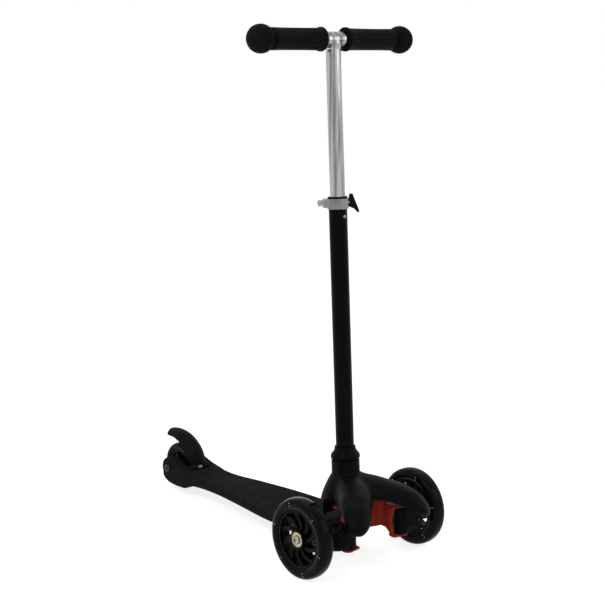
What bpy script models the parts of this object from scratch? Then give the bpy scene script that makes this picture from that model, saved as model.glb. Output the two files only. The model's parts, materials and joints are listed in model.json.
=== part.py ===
"""Three-wheel kick scooter that steers when its handlebar leans, built as separate pieces.

Lengths are metres and +Z is up. The front faces -Y, and +X is the rider's left.
The origin lies on the ground under the middle of the scooter.
Stations, written as (x, y, z), count y from the front axle towards the rear.
"""

import math

import bmesh
import bpy
from mathutils import Matrix, Vector

MM = 0.001

# Clearances between pieces
GAP = 0.3 * MM
RUNNING_GAP = 1.0 * MM
WALL = 3.0 * MM

# Wheels
WHEELBASE = 458.5 * MM
FRONT_TRACK = 225 * MM
FRONT_WHEEL_RADIUS = 60 * MM
FRONT_CORE_RADIUS = 43 * MM
REAR_WHEEL_RADIUS = 40 * MM
REAR_CORE_RADIUS = 28 * MM
TYRE_WIDTH = 24 * MM
WHEEL_SEGMENTS = 24
HUB_LENGTH = 21.2 * MM
HUB_WALL = 3.2 * MM
RIM_THICKNESS = 3.5 * MM
WEB_THICKNESS = 14 * MM
WINDOW_INNER_WALL = 2.2 * MM
WINDOW_OUTER_WALL = 1.8 * MM
SPOKE_COUNT = 10
REAR_SPOKE_COUNT = 5
SPOKE_SWEEP = math.radians(34)
BEARING_RADIUS = 11 * MM
BEARING_WIDTH = 7 * MM
AXLE_RADIUS = 4 * MM
AXLE_HEAD_RADIUS = 6.5 * MM
AXLE_HEAD_HEIGHT = 3.6 * MM
AXLE_NUT_RADIUS = 7.4 * MM
AXLE_NUT_HEIGHT = 6.4 * MM
WHEEL_SPACER = 2.4 * MM

# Steering knuckles
KINGPIN_X = 54 * MM
KINGPIN_Y = -34 * MM
KINGPIN_RADIUS = 3 * MM
KINGPIN_HEAD_RADIUS = 5.6 * MM
KNUCKLE_BARREL_RADIUS = 12 * MM
KNUCKLE_BOSS_RADIUS = 13 * MM
KNUCKLE_BOSS_LENGTH = 16 * MM
STEERING_ARM_LENGTH = 48 * MM
STEERING_ARM_THICKNESS = 4.7 * MM
TIE_ROD_RADIUS = 2.3 * MM
TIE_ROD_EYE_RADIUS = 5 * MM
TIE_ROD_BLOCK_X = 6.5 * MM
TIE_ROD_BLOCK_Z = 5.2 * MM
TIE_ROD_BLOCK_FRONT = 2.4 * MM
TIE_ROD_BLOCK_BACK = 3 * MM
TIE_PIN_RADIUS = 2 * MM
TIE_ROD_Z = 48 * MM

# Steering bracket
BRACKET_LOW_PLATE_Z = 36 * MM
BRACKET_TOP_Z = 84 * MM
BRACKET_PLATE = 3.5 * MM
BRACKET_WEB_X = 36 * MM
BRACKET_WEB = 4.5 * MM
BRACKET_FACE = 5 * MM
BRACKET_FACE_LOW_Z = 43 * MM
BRACKET_FACE_HALF = 20 * MM
BRACKET_FACE_RISE = 6 * MM
CHEEK_TO_KINGPIN = 20 * MM
CHEEK_LIFT = 7.8 * MM
CHEEK_FALL = 2.3 * MM
GUSSET_X = 10 * MM
GUSSET_THICKNESS = 3.5 * MM
SHELF_ROOT_HALF = 14 * MM
SHELF_END_Y = 30 * MM
BRACKET_EAR_RADIUS = 9 * MM
TONGUE_FRONT_HALF = 19 * MM
TONGUE_REAR_HALF = 28 * MM
TONGUE_CORNER = 6 * MM
TONGUE_THICKNESS = 6 * MM
TONGUE_END_Y = 98 * MM
LEAN_PIVOT_Z = 80 * MM
LEAN_BOLT_RADIUS = 4 * MM
LEAN_BOSS_RADIUS = 9 * MM
LEAN_BOSS_END_Y = 34 * MM
LEAN_LUG = 5 * MM
LEAN_HEAD_RADIUS = 7 * MM
LEAN_HEAD_HEIGHT = 4.2 * MM
DRIVE_PIN_RADIUS = 2.5 * MM

# Front shell and its centring springs
ARCH_REAR_Y = 34 * MM
ARCH_CUT = 70 * MM
ARCH_TOP_Z = 97.3 * MM
REAR_LUG_TOP_HALF = 15 * MM
REAR_LUG_TOP_Z = 119 * MM
SPRING_X = 25 * MM
SPRING_Y = 22 * MM
SPRING_SEAT_Z = 105.5 * MM
SPRING_SEAT_RADIUS = 7 * MM
SPRING_RADIUS = 5.5 * MM
SPRING_WIRE = 1 * MM
SPRING_TURNS = 4

# Stem and handlebar, measured along the raked stem from its foot point
STEM_RAKE = math.radians(3)
STEM_FOOT_Y = 31.4 * MM
STEM_FOOT_Z = 120 * MM
OUTER_TUBE_RADIUS = 13.6 * MM
OUTER_TUBE_WALL = 1.3 * MM
OUTER_TUBE_BOTTOM = -24.4 * MM
OUTER_TUBE_TOP = 421.6 * MM
INNER_TUBE_RADIUS = 11.1 * MM
INNER_TUBE_WALL = 1.5 * MM
INNER_TUBE_BOTTOM = 262 * MM
HANDLEBAR_S = 650.9 * MM
HANDLEBAR_HALF_LENGTH = 128 * MM
GRIP_INNER_X = 22 * MM
GRIP_OUTER_X = 153 * MM
GRIP_RADIUS = 16 * MM
GRIP_FLANGE_RADIUS = 17.5 * MM
GRIP_BALL_RADIUS = 20.5 * MM
NECK_RADIUS = 21.3 * MM
NECK_TOP = 30 * MM
COLLAR_LIP_RADIUS = 22 * MM
COLLAR_SPIGOT_RADIUS = 17 * MM
COLLAR_SPIGOT_LOW = 12.5 * MM
COLLAR_TOP = 50.1 * MM
STEM_PIN_S = -12 * MM
STEM_PIN_RADIUS = 2.5 * MM
STEM_PIN_HALF = 17 * MM
BUTTON_S = 395.5 * MM
BUTTON_RADIUS = 2.5 * MM
HEIGHT_STEPS = 4
HEIGHT_STEP = 25 * MM

# Clamp
CLAMP_TURN = math.radians(-40)
CLAMP_HEIGHT = 15.4 * MM
CLAMP_WALL = 1.7 * MM
CLAMP_BOLT_OFFSET = 22 * MM
CLAMP_BOLT_RADIUS = 2.5 * MM

# Deck and brake
DECK_TOP_Z = 46 * MM
DECK_LOW_Z = 33 * MM
DECK_PLATE = 3.7 * MM
DECK_FRONT_Y = 44 * MM
DECK_CORNER = 5 * MM
DECK_CROWN = 0.8 * MM
DECK_RIB = 3 * MM
RIB_SINK = 1 * MM
DECK_RIB_COUNT = 4
FIRST_RIB_Y = 150 * MM
LAST_RIB_TO_SLOT = 100 * MM
DECK_SCREW_RADIUS = 2 * MM
DECK_SCREW_HEAD_RADIUS = 3.8 * MM
DECK_SCREW_HEAD_HEIGHT = 2.2 * MM
DECK_SCREW_X = 18 * MM
FORK_INNER_X = 15.5 * MM
FORK_OUTER_X = 34 * MM
FORK_RADIUS = 18 * MM
SLOT_TO_TYRE = 3.5 * MM
BRAKE_PIN_TO_SLOT = 4 * MM
BRAKE_PIN_RISE = 6 * MM
BRAKE_PIN_RADIUS = 2.5 * MM
BRAKE_PIN_HALF = 18.5 * MM
BRAKE_LUG = 8 * MM
BRAKE_RELIEF_X = 6 * MM
BRAKE_SPRING_WIRE = 0.7 * MM
BRAKE_SPRING_TURNS = 4
BRAKE_BARREL_RADIUS = 5.5 * MM
BRAKE_BARREL_END_X = 13 * MM
BRAKE_THICKNESS = 4.5 * MM

# Places that follow from the sizes above
HUB_BORE = AXLE_RADIUS + GAP
KNUCKLE_BOSS_FACE = HUB_LENGTH / 2 + 2 * GAP + WHEEL_SPACER
KNUCKLE_LOW_Z = BRACKET_LOW_PLATE_Z + BRACKET_PLATE + RUNNING_GAP
KNUCKLE_TOP_Z = BRACKET_TOP_Z - BRACKET_PLATE - GAP
TIE_ROD_Y = KINGPIN_Y + STEERING_ARM_LENGTH
BRACKET_FACE_Y = TIE_ROD_Y - TIE_ROD_BLOCK_FRONT - 2 * GAP - BRACKET_FACE
LEAN_BOSS_FRONT_Y = BRACKET_FACE_Y - GAP
REAR_LUG_Y = LEAN_BOSS_END_Y + 3 * GAP
TONGUE_TOP_Z = BRACKET_LOW_PLATE_Z + TONGUE_THICKNESS
WHEEL_SLOT_Y = WHEELBASE - REAR_WHEEL_RADIUS - SLOT_TO_TYRE
BRAKE_PIN_Y = WHEEL_SLOT_Y - BRAKE_PIN_TO_SLOT
BRAKE_PIN_Z = REAR_WHEEL_RADIUS + BRAKE_PIN_RISE

SIDES = {"left": 1, "right": -1}


def clear_scene():
    for old in list(bpy.data.objects):
        bpy.data.objects.remove(old, do_unlink=True)


def material(name, colour, roughness, metallic=0.0):
    made = bpy.data.materials.new(name)
    made.use_nodes = True
    shader = made.node_tree.nodes["Principled BSDF"]
    shader.inputs["Base Color"].default_value = (*colour, 1.0)
    shader.inputs["Roughness"].default_value = roughness
    shader.inputs["Metallic"].default_value = metallic
    made.diffuse_color = (*colour, 1.0)
    return made


# Frames


def at(x, y, z):
    """The frame of a station, with y counted from the front axle."""
    return Matrix.Translation((x, FRONT_AXLE_Y + y, z))


def along_x(side=1):
    """Turns local +Z to point away from the middle on the given side."""
    return Matrix.Rotation(side * math.pi / 2, 4, "Y")


def along_y():
    """Turns local +Z to point to the rear."""
    return Matrix.Rotation(-math.pi / 2, 4, "X")


def stem(s=0.0):
    """The frame of the raked stem, s along it from its foot point."""
    foot = at(0, STEM_FOOT_Y, STEM_FOOT_Z) @ Matrix.Rotation(-STEM_RAKE, 4, "X")
    return foot @ Matrix.Translation((0, 0, s))


# Shapes


def join_rings(bm, lower, upper):
    count = max(len(lower), len(upper))
    for i in range(count):
        j = (i + 1) % count
        if len(lower) == 1:
            bm.faces.new((lower[0], upper[j], upper[i]))
        elif len(upper) == 1:
            bm.faces.new((lower[i], lower[j], upper[0]))
        else:
            bm.faces.new((lower[i], lower[j], upper[j], upper[i]))


def loft(rings):
    """A closed solid through rings of as many points each, capped at both ends."""
    bm = bmesh.new()
    made = [[bm.verts.new(point) for point in ring] for ring in rings]
    for lower, upper in zip(made, made[1:]):
        join_rings(bm, lower, upper)
    for end in (made[0], made[-1]):
        if len(end) > 2:
            bm.faces.new(end)
    bmesh.ops.recalc_face_normals(bm, faces=bm.faces)
    return bm


def circle(radius, segments, height=0.0, middle=(0.0, 0.0)):
    turn = 2 * math.pi / segments
    return [
        (middle[0] + radius * math.cos(i * turn), middle[1] + radius * math.sin(i * turn), height)
        for i in range(segments)
    ]


def turned(profile, segments=20, ring=False):
    """Turns (radius, height) points about Z, as a solid, or as a ring whose profile closes."""
    bm = bmesh.new()
    rings = []
    for radius, height in profile:
        points = [(0, 0, height)] if radius < 1e-6 else circle(radius, segments, height)
        rings.append([bm.verts.new(point) for point in points])
    following = rings[1:] + rings[:1] if ring else rings[1:]
    for lower, upper in zip(rings, following):
        join_rings(bm, lower, upper)
    if not ring:
        for end in (rings[0], rings[-1]):
            if len(end) > 2:
                bm.faces.new(end)
    bmesh.ops.recalc_face_normals(bm, faces=bm.faces)
    return bm


def rod(radius, low, high, segments=20):
    return turned([(radius, low), (radius, high)], segments)


def tube(outer, inner, low, high, segments=20):
    return turned([(inner, low), (outer, low), (outer, high), (inner, high)], segments, ring=True)


def prism(outline, low, high):
    return loft([[(x, y, low) for x, y in outline], [(x, y, high) for x, y in outline]])


def plate_yz(outline, low_x, high_x):
    """A plate whose outline is given in (y, z), between two places in x."""
    return loft([[(low_x, y, z) for y, z in outline], [(high_x, y, z) for y, z in outline]])


def box(low, high):
    outline = [(low[0], low[1]), (high[0], low[1]), (high[0], high[1]), (low[0], high[1])]
    return prism(outline, low[2], high[2])


def gather(bm, other):
    """Moves the mesh other into bm."""
    mesh = bpy.data.meshes.new("gathered")
    other.to_mesh(mesh)
    other.free()
    bm.from_mesh(mesh)
    bpy.data.meshes.remove(mesh)


def arc(middle, radius, start, end, steps):
    """Points of an arc, with its angles in degrees."""
    angles = [math.radians(start + (end - start) * i / steps) for i in range(steps + 1)]
    return [(middle[0] + radius * math.cos(a), middle[1] + radius * math.sin(a)) for a in angles]


# Objects


def solid(name, bm, finish, place, pivot=None):
    """An object from a mesh in the frame place. Its origin lies at pivot, a frame, if one is given."""
    mesh = bpy.data.meshes.new(name)
    origin = place if pivot is None else Matrix.Translation(pivot.translation)
    bmesh.ops.transform(bm, matrix=origin.inverted() @ place, verts=bm.verts)
    bm.to_mesh(mesh)
    bm.free()
    mesh.shade_smooth()
    mesh.set_sharp_from_angle(angle=math.radians(35))
    made = bpy.data.objects.new(name, mesh)
    made.matrix_world = origin
    bpy.context.scene.collection.objects.link(made)
    if finish is not None:
        mesh.materials.append(finish)
    return made


def guide(name, bm, place):
    made = solid(name, bm, None, place)
    made.hide_render = True
    made.display_type = "WIRE"
    return made


def combine(target, operation, bm, place, label):
    tool = guide(f"{target.name}_{label}", bm, place)
    step = target.modifiers.new(label, "BOOLEAN")
    step.operation = operation
    step.solver = "EXACT"
    step.object = tool


def cut(target, bm, place, label):
    combine(target, "DIFFERENCE", bm, place, label)


def add(target, bm, place, label):
    combine(target, "UNION", bm, place, label)


def coil(name, finish, place, points, wire_radius, turn_pitch):
    """A wound wire: one unbroken tube through points, whose turns lie turn_pitch apart."""
    data = bpy.data.curves.new(name, "CURVE")
    data.dimensions = "3D"
    data.bevel_depth = wire_radius
    data.bevel_resolution = 1
    data.use_fill_caps = True
    spline = data.splines.new("POLY")
    spline.points.add(len(points) - 1)
    for point, place_on_wire in zip(spline.points, points):
        point.co = (*place_on_wire, 1)
    data.materials.append(finish)
    made = bpy.data.objects.new(name, data)
    made.matrix_world = place
    bpy.context.scene.collection.objects.link(made)
    near = 0.75 * turn_pitch
    gaps = [
        (Vector(a) - Vector(b)).length - 2 * wire_radius
        for i, a in enumerate(points)
        for b in points[i + 5:]
        if (Vector(a) - Vector(b)).length > near
    ]
    print(f"{name}: least gap to itself {min(gaps) / MM:.2f} mm")


def helix(radius, low, turns, turn_pitch, start=0.0):
    points_per_turn = 8
    step = 2 * math.pi / points_per_turn
    return [
        Vector(
            (
                radius * math.cos(start + step * i),
                radius * math.sin(start + step * i),
                low + turn_pitch * i / points_per_turn,
            )
        )
        for i in range(turns * points_per_turn + 1)
    ]


# Fasteners


def button_head_bolt(name, finish, place, radius, head_radius, head_height, length, segments=12):
    """A button-head bolt whose head stands on the place's plane and whose shank runs to -Z."""
    socket = 0.42 * head_radius
    profile = [
        (0, -length),
        (radius, -length),
        (radius, 0),
        (head_radius, 0),
        (head_radius, 0.35 * head_height),
        (0.7 * head_radius, head_height),
        (socket, head_height),
        (0, 0.5 * head_height),
    ]
    solid(name, turned(profile, segments), finish, place)


def hex_nut(name, finish, place, bore, corner_radius, height):
    """A hex nut that stands on the place's plane and rises along +Z."""
    chamfer = 0.12 * height
    hole = bore / math.cos(math.pi / 6)
    profile = [
        (hole, 0),
        (corner_radius - chamfer, 0),
        (corner_radius, chamfer),
        (corner_radius, height - chamfer),
        (corner_radius - chamfer, height),
        (hole, height),
    ]
    solid(name, turned(profile, 6, ring=True), finish, place)


# Wheels


def tyre(name, finish, place, radius, core_radius):
    half = TYRE_WIDTH / 2
    bore = core_radius + GAP
    depth = radius - bore
    outer_side = [
        (bore, 0.8 * half),
        (bore + 0.5 * depth, half),
        (radius - 0.12 * depth, 0.74 * half),
        (radius, 0.25 * half),
    ]
    inner_side = [(r, -h) for r, h in reversed(outer_side)]
    solid(name, turned(inner_side + outer_side, WHEEL_SEGMENTS, ring=True), finish, place)


def wheel_core(name, finish, place, radius, spokes, sweep):
    half = HUB_LENGTH / 2
    seat = BEARING_RADIUS + GAP
    barrel = seat + HUB_WALL
    shoulder = half - BEARING_WIDTH - 2 * GAP
    rim = radius - RIM_THICKNESS
    rim_half = 0.78 * TYRE_WIDTH / 2
    web = WEB_THICKNESS / 2
    profile = [
        (AXLE_RADIUS + 3 * RUNNING_GAP, -shoulder),
        (seat, -shoulder),
        (seat, -half),
        (barrel, -half),
        (barrel, -web),
        (rim, -web),
        (rim, -rim_half),
        (radius, -rim_half),
        (radius, rim_half),
        (rim, rim_half),
        (rim, web),
        (barrel, web),
        (barrel, half),
        (seat, half),
        (seat, shoulder),
        (AXLE_RADIUS + 3 * RUNNING_GAP, shoulder),
    ]
    core = solid(name, turned(profile, WHEEL_SEGMENTS, ring=True), finish, place)
    windows = bmesh.new()
    inner = barrel + WINDOW_INNER_WALL
    outer = rim - WINDOW_OUTER_WALL
    steps = 2
    for i in range(spokes):
        sides = [[], []]
        for k in range(steps + 1):
            share = k / steps
            along = inner + (outer - inner) * share
            width = math.pi * along / spokes * (0.46 + 0.16 * share)
            middle = 2 * math.pi * i / spokes + sweep * share**1.4
            for side, edge in zip(sides, (-1, 1)):
                angle = middle + edge * width / along
                side.append((along * math.cos(angle), along * math.sin(angle)))
        gather(windows, prism(sides[0] + sides[1][::-1], -2 * web, 2 * web))
    cut(core, windows, place, "spoke_windows")


def bearing(name, finish, place):
    half = BEARING_WIDTH / 2
    solid(name, tube(BEARING_RADIUS, HUB_BORE, -half, half, 12), finish, place)


def bearing_pair(prefix, finish, place):
    """Two bearings in the hub, the shielded faces outward."""
    shift = (HUB_LENGTH - BEARING_WIDTH) / 2
    for word, sign in (("outer", 1), ("inner", -1)):
        seat = place @ Matrix.Translation((0, 0, sign * shift))
        if sign < 0:
            seat = seat @ Matrix.Rotation(math.pi, 4, "X")
        bearing(f"{prefix}_{word}", finish, seat)


def front_wheel(word, side, looks):
    place = at(side * FRONT_TRACK / 2, 0, FRONT_WHEEL_RADIUS) @ along_x(side)
    tyre(f"front_tyre_{word}", looks["clear_tyre"], place, FRONT_WHEEL_RADIUS, FRONT_CORE_RADIUS)
    wheel_core(
        f"front_wheel_core_{word}", looks["core"], place, FRONT_CORE_RADIUS, SPOKE_COUNT,
        -side * SPOKE_SWEEP,
    )
    bearing_pair(f"front_bearing_{word}", looks["bearing"], place)
    face = HUB_LENGTH / 2
    spacer_low = -face - GAP - WHEEL_SPACER
    solid(
        f"front_axle_spacer_{word}",
        tube(AXLE_HEAD_RADIUS, HUB_BORE, spacer_low, -face - GAP, 12),
        looks["steel"],
        place,
    )
    nut_face = KNUCKLE_BOSS_FACE + KNUCKLE_BOSS_LENGTH + GAP
    bolt_length = face + GAP + nut_face + AXLE_NUT_HEIGHT + 1.5 * MM
    button_head_bolt(
        f"front_axle_bolt_{word}", looks["steel"], place @ Matrix.Translation((0, 0, face + GAP)),
        AXLE_RADIUS, AXLE_HEAD_RADIUS, AXLE_HEAD_HEIGHT, bolt_length,
    )
    nut_place = place @ Matrix.Translation((0, 0, -nut_face)) @ Matrix.Rotation(math.pi, 4, "X")
    hex_nut(
        f"front_axle_nut_{word}", looks["steel"], nut_place, HUB_BORE, AXLE_NUT_RADIUS,
        AXLE_NUT_HEIGHT,
    )


def rear_wheel(looks):
    place = at(0, WHEELBASE, REAR_WHEEL_RADIUS) @ along_x(-1)
    tyre("rear_tyre", looks["rear_tyre"], place, REAR_WHEEL_RADIUS, REAR_CORE_RADIUS)
    wheel_core("rear_wheel_core", looks["core"], place, REAR_CORE_RADIUS, REAR_SPOKE_COUNT, 0)
    bearing_pair("rear_bearing", looks["bearing"], place)
    face = HUB_LENGTH / 2
    for word, sign in (("left", -1), ("right", 1)):
        near = face + GAP
        far = FORK_INNER_X - GAP
        low, high = sorted((sign * near, sign * far))
        spacer = tube(AXLE_HEAD_RADIUS, HUB_BORE, low, high, 12)
        solid(f"rear_axle_spacer_{word}", spacer, looks["steel"], place)
    head = place @ Matrix.Translation((0, 0, FORK_OUTER_X + GAP))
    button_head_bolt(
        "rear_axle_bolt", looks["steel"], head, AXLE_RADIUS, AXLE_HEAD_RADIUS, AXLE_HEAD_HEIGHT,
        2 * FORK_OUTER_X + AXLE_NUT_HEIGHT + 2 * MM,
    )
    nut = place @ Matrix.Translation((0, 0, -FORK_OUTER_X - GAP)) @ Matrix.Rotation(math.pi, 4, "X")
    hex_nut("rear_axle_nut", looks["steel"], nut, HUB_BORE, AXLE_NUT_RADIUS, AXLE_NUT_HEIGHT)


# Steering


def knuckle(word, side, looks):
    """The swivelling arm between the kingpin and the wheel axle, drawn with x outward."""
    place = at(side * KINGPIN_X, KINGPIN_Y, 0)
    boss_out = FRONT_TRACK / 2 - KINGPIN_X - KNUCKLE_BOSS_FACE
    boss_in = boss_out - KNUCKLE_BOSS_LENGTH
    axle_y = -KINGPIN_Y
    barrel = KNUCKLE_BARREL_RADIUS
    body = solid(
        f"steering_knuckle_{word}", rod(barrel, KNUCKLE_LOW_Z, KNUCKLE_TOP_Z), looks["knuckle"], place
    )
    boss_radius = KNUCKLE_BOSS_RADIUS
    reach = boss_out - 2 * MM
    outline = [
        (-0.8 * barrel, -0.4 * barrel),
        (-0.2 * barrel, -barrel),
        (0.9 * barrel, -barrel),
        (0.62 * reach, -0.75 * barrel),
        (0.9 * reach, 0),
        (reach, 0.9 * barrel),
        (reach, axle_y + 0.9 * boss_radius),
        (boss_in + 1 * MM, axle_y + 0.9 * boss_radius),
        (0.35 * reach, axle_y - 0.8 * boss_radius),
        (-0.8 * barrel, 0.5 * barrel),
    ]
    half = 12 * MM
    low = KNUCKLE_LOW_Z + 2.5 * MM
    levels = [(low, 0.86), (low + 7 * MM, 1.0), (FRONT_WHEEL_RADIUS + half, 1.0)]
    rings = [[(side * x * share, y * share, z) for x, y in outline] for z, share in levels]
    add(body, loft(rings), place, "arm")
    axle = place @ Matrix.Translation((0, axle_y, FRONT_WHEEL_RADIUS)) @ along_x(side)
    add(body, rod(boss_radius, boss_in, boss_out, 16), axle, "axle_boss")
    lever_half = 4.5 * MM
    lever = [(-lever_half, 0), (lever_half, 0)]
    lever += arc((0, STEERING_ARM_LENGTH), lever_half, 0, 180, 5)
    add(body, prism(lever, KNUCKLE_LOW_Z, KNUCKLE_LOW_Z + STEERING_ARM_THICKNESS), place, "lever")
    pin_place = place @ Matrix.Translation((0, STEERING_ARM_LENGTH, 0))
    pin_top = TIE_ROD_Z + TIE_ROD_RADIUS + 1.5 * MM
    add(body, rod(TIE_PIN_RADIUS, KNUCKLE_LOW_Z + 1 * MM, pin_top, 12), pin_place, "lever_pin")
    reach = 5 * MM
    kingpin_bore = rod(KINGPIN_RADIUS + GAP, KNUCKLE_LOW_Z - reach, KNUCKLE_TOP_Z + reach, 12)
    cut(body, kingpin_bore, place, "kingpin_bore")
    cut(body, rod(HUB_BORE, boss_in - reach, boss_out + reach, 16), axle, "axle_bore")
    cut(body, rod(AXLE_NUT_RADIUS + 1.2 * MM, boss_in - 20 * MM, boss_in, 16), axle, "nut_pocket")


def kingpin_profile(spread):
    """Half outline of the kingpin screw, standing on its flush head and grown by spread."""
    flare = KINGPIN_HEAD_RADIUS - KINGPIN_RADIUS
    top = BRACKET_TOP_Z - BRACKET_LOW_PLATE_Z - GAP
    return [
        (0, 0),
        (KINGPIN_HEAD_RADIUS + spread, 0),
        (KINGPIN_RADIUS + spread, flare),
        (KINGPIN_RADIUS + spread, top),
        (0, top),
    ]


def kingpin(word, side, looks):
    place = at(side * KINGPIN_X, KINGPIN_Y, BRACKET_LOW_PLATE_Z)
    solid(f"kingpin_screw_{word}", turned(kingpin_profile(0), 12), looks["steel"], place)


def steering_bracket(looks):
    """The red carrier: a face wall, cheeks and webs to two clevises, a pivot boss and a tongue."""
    here = at(0, 0, 0)
    web_out = BRACKET_WEB_X + BRACKET_WEB
    face_back = BRACKET_FACE_Y + BRACKET_FACE
    half = BRACKET_FACE_HALF
    face_top = BRACKET_TOP_Z + BRACKET_FACE_RISE
    body = solid(
        "steering_bracket",
        box((-half, BRACKET_FACE_Y, BRACKET_FACE_LOW_Z), (half, face_back, face_top)),
        looks["bracket"],
        here,
    )
    cheek_y = KINGPIN_Y + CHEEK_TO_KINGPIN
    cheek = [
        (half - 2 * MM, BRACKET_FACE_Y + 1 * MM),
        (BRACKET_WEB_X + 0.5 * MM, cheek_y),
        (web_out - 0.3 * MM, cheek_y + 1 * MM),
        (half + 2 * MM, face_back - 0.2 * MM),
        (half - 1 * MM, face_back - 0.5 * MM),
    ]
    root_x, run = cheek[0][0], cheek[2][0] - cheek[0][0]
    fall = CHEEK_FALL / run
    lift = CHEEK_LIFT / run
    front = KINGPIN_Y - 1 * MM
    low = BRACKET_LOW_PLATE_Z
    high = BRACKET_TOP_Z
    web_outline = [
        (cheek_y + 1.5 * MM, BRACKET_FACE_LOW_Z + CHEEK_LIFT),
        (front + 2 * MM, low),
        (front, low + 1.5 * MM),
        (front + 3.5 * MM, low + 11 * MM),
        (front + 5.5 * MM, low + 23 * MM),
        (front + 4 * MM, low + 34 * MM),
        (front, high - 2.5 * MM),
        (front, high - 0.2 * MM),
        (cheek_y + 1.5 * MM, high - 0.2 * MM),
    ]
    for word, side in SIDES.items():
        low_x, high_x = sorted((side * BRACKET_WEB_X, side * web_out))
        add(body, plate_yz(web_outline, low_x, high_x), here, f"web_{word}")
        under, over = (
            [(side * x, y, level + slope * (x - root_x)) for x, y in cheek]
            for level, slope in (
                (BRACKET_FACE_LOW_Z + 0.2 * MM, lift),
                (face_top - 0.2 * MM, -fall),
            )
        )
        add(body, loft([under, over]), here, f"cheek_{word}")
        inner_x = BRACKET_WEB_X + 1 * MM
        toe_x = BRACKET_WEB_X - 1.5 * MM
        low_root = [
            (inner_x, KINGPIN_Y + 10 * MM),
            (toe_x, KINGPIN_Y + 3 * MM),
            (toe_x, KINGPIN_Y - 5 * MM),
        ]
        high_root = [(inner_x, KINGPIN_Y + 26 * MM), (inner_x, KINGPIN_Y)]
        tip = arc((KINGPIN_X, KINGPIN_Y), BRACKET_EAR_RADIUS, -120, 60, 6)
        low_ear = [(side * x, y) for x, y in low_root + tip]
        high_ear = [(side * x, y) for x, y in high_root + tip]
        add(body, prism(low_ear, low, low + BRACKET_PLATE), here, f"low_ear_{word}")
        add(body, prism(high_ear, high - BRACKET_PLATE, high), here, f"high_ear_{word}")
    half_tongue = [
        (TONGUE_FRONT_HALF, BRACKET_FACE_Y + 1 * MM),
        (TONGUE_FRONT_HALF, LEAN_BOSS_END_Y),
        (TONGUE_REAR_HALF, DECK_FRONT_Y),
        (TONGUE_REAR_HALF, TONGUE_END_Y - TONGUE_CORNER),
        (TONGUE_REAR_HALF - TONGUE_CORNER, TONGUE_END_Y),
    ]
    tongue = half_tongue + [(-x, y) for x, y in reversed(half_tongue)]
    add(body, prism(tongue, low, TONGUE_TOP_Z), here, "tongue")
    lip = box(
        (-TONGUE_FRONT_HALF, BRACKET_FACE_Y + 1 * MM, low + 1 * MM),
        (TONGUE_FRONT_HALF, face_back - 0.5 * MM, BRACKET_FACE_LOW_Z + 2 * MM),
    )
    add(body, lip, here, "lip")
    shelf_low = BRACKET_TOP_Z - BRACKET_PLATE - 0.5 * MM
    half_shelf = [(SHELF_ROOT_HALF, face_back - 1 * MM)]
    half_shelf += arc((SPRING_X, SPRING_Y), SPRING_SEAT_RADIUS + GAP, -60, 100, 6)
    half_shelf.append((SHELF_ROOT_HALF, SHELF_END_Y))
    shelf = half_shelf + [(-x, y) for x, y in reversed(half_shelf)]
    add(body, prism(shelf, shelf_low, BRACKET_TOP_Z - 0.5 * MM), here, "shelf")
    gusset_front = TIE_ROD_Y + TIE_ROD_RADIUS + 3.5 * MM
    for word, side in SIDES.items():
        inner_x, outer_x = GUSSET_X, GUSSET_X + GUSSET_THICKNESS
        low_x, high_x = sorted((side * inner_x, side * outer_x))
        gusset = box(
            (low_x, gusset_front, low + 1 * MM), (high_x, SHELF_END_Y - 1 * MM, shelf_low + 1 * MM)
        )
        add(body, gusset, here, f"gusset_{word}")
    boss = rod(LEAN_BOSS_RADIUS, LEAN_BOSS_FRONT_Y, LEAN_BOSS_END_Y + 0.5 * MM, 16)
    pivot = at(0, 0, LEAN_PIVOT_Z) @ along_y()
    add(body, boss, pivot, "pivot_boss")
    cut(body, rod(LEAN_BOLT_RADIUS + GAP, 0, LEAN_BOSS_END_Y + 5 * MM, 16), pivot, "pivot_bore")
    reach = 5 * MM
    hole = kingpin_profile(GAP)
    hole = [(0, -reach), (hole[1][0], -reach)] + hole[1:3] + [(hole[3][0], high - low + reach)]
    hole.append((0, high - low + reach))
    for word, side in SIDES.items():
        place = at(side * KINGPIN_X, KINGPIN_Y, low)
        cut(body, turned(hole, 12), place, f"kingpin_hole_{word}")
    for i, (x, y) in enumerate(deck_screw_places(), 1):
        bore = rod(DECK_SCREW_RADIUS + GAP, low - reach, TONGUE_TOP_Z + reach, 10)
        cut(body, bore, at(x, y, 0), f"screw_hole_{i}")


def deck_screw_places():
    rows = (TONGUE_END_Y - 38 * MM, TONGUE_END_Y - 12 * MM)
    return [(x, y) for y in rows for x in (-DECK_SCREW_X, DECK_SCREW_X)]


def deck_screws(looks):
    length = TONGUE_THICKNESS + GAP + 2.4 * MM
    for i, (x, y) in enumerate(deck_screw_places(), 1):
        place = at(x, y, BRACKET_LOW_PLATE_Z - GAP) @ Matrix.Rotation(math.pi, 4, "X")
        button_head_bolt(
            f"deck_screw_{i}", looks["steel"], place, DECK_SCREW_RADIUS, DECK_SCREW_HEAD_RADIUS,
            DECK_SCREW_HEAD_HEIGHT, length, segments=8,
        )


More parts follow.
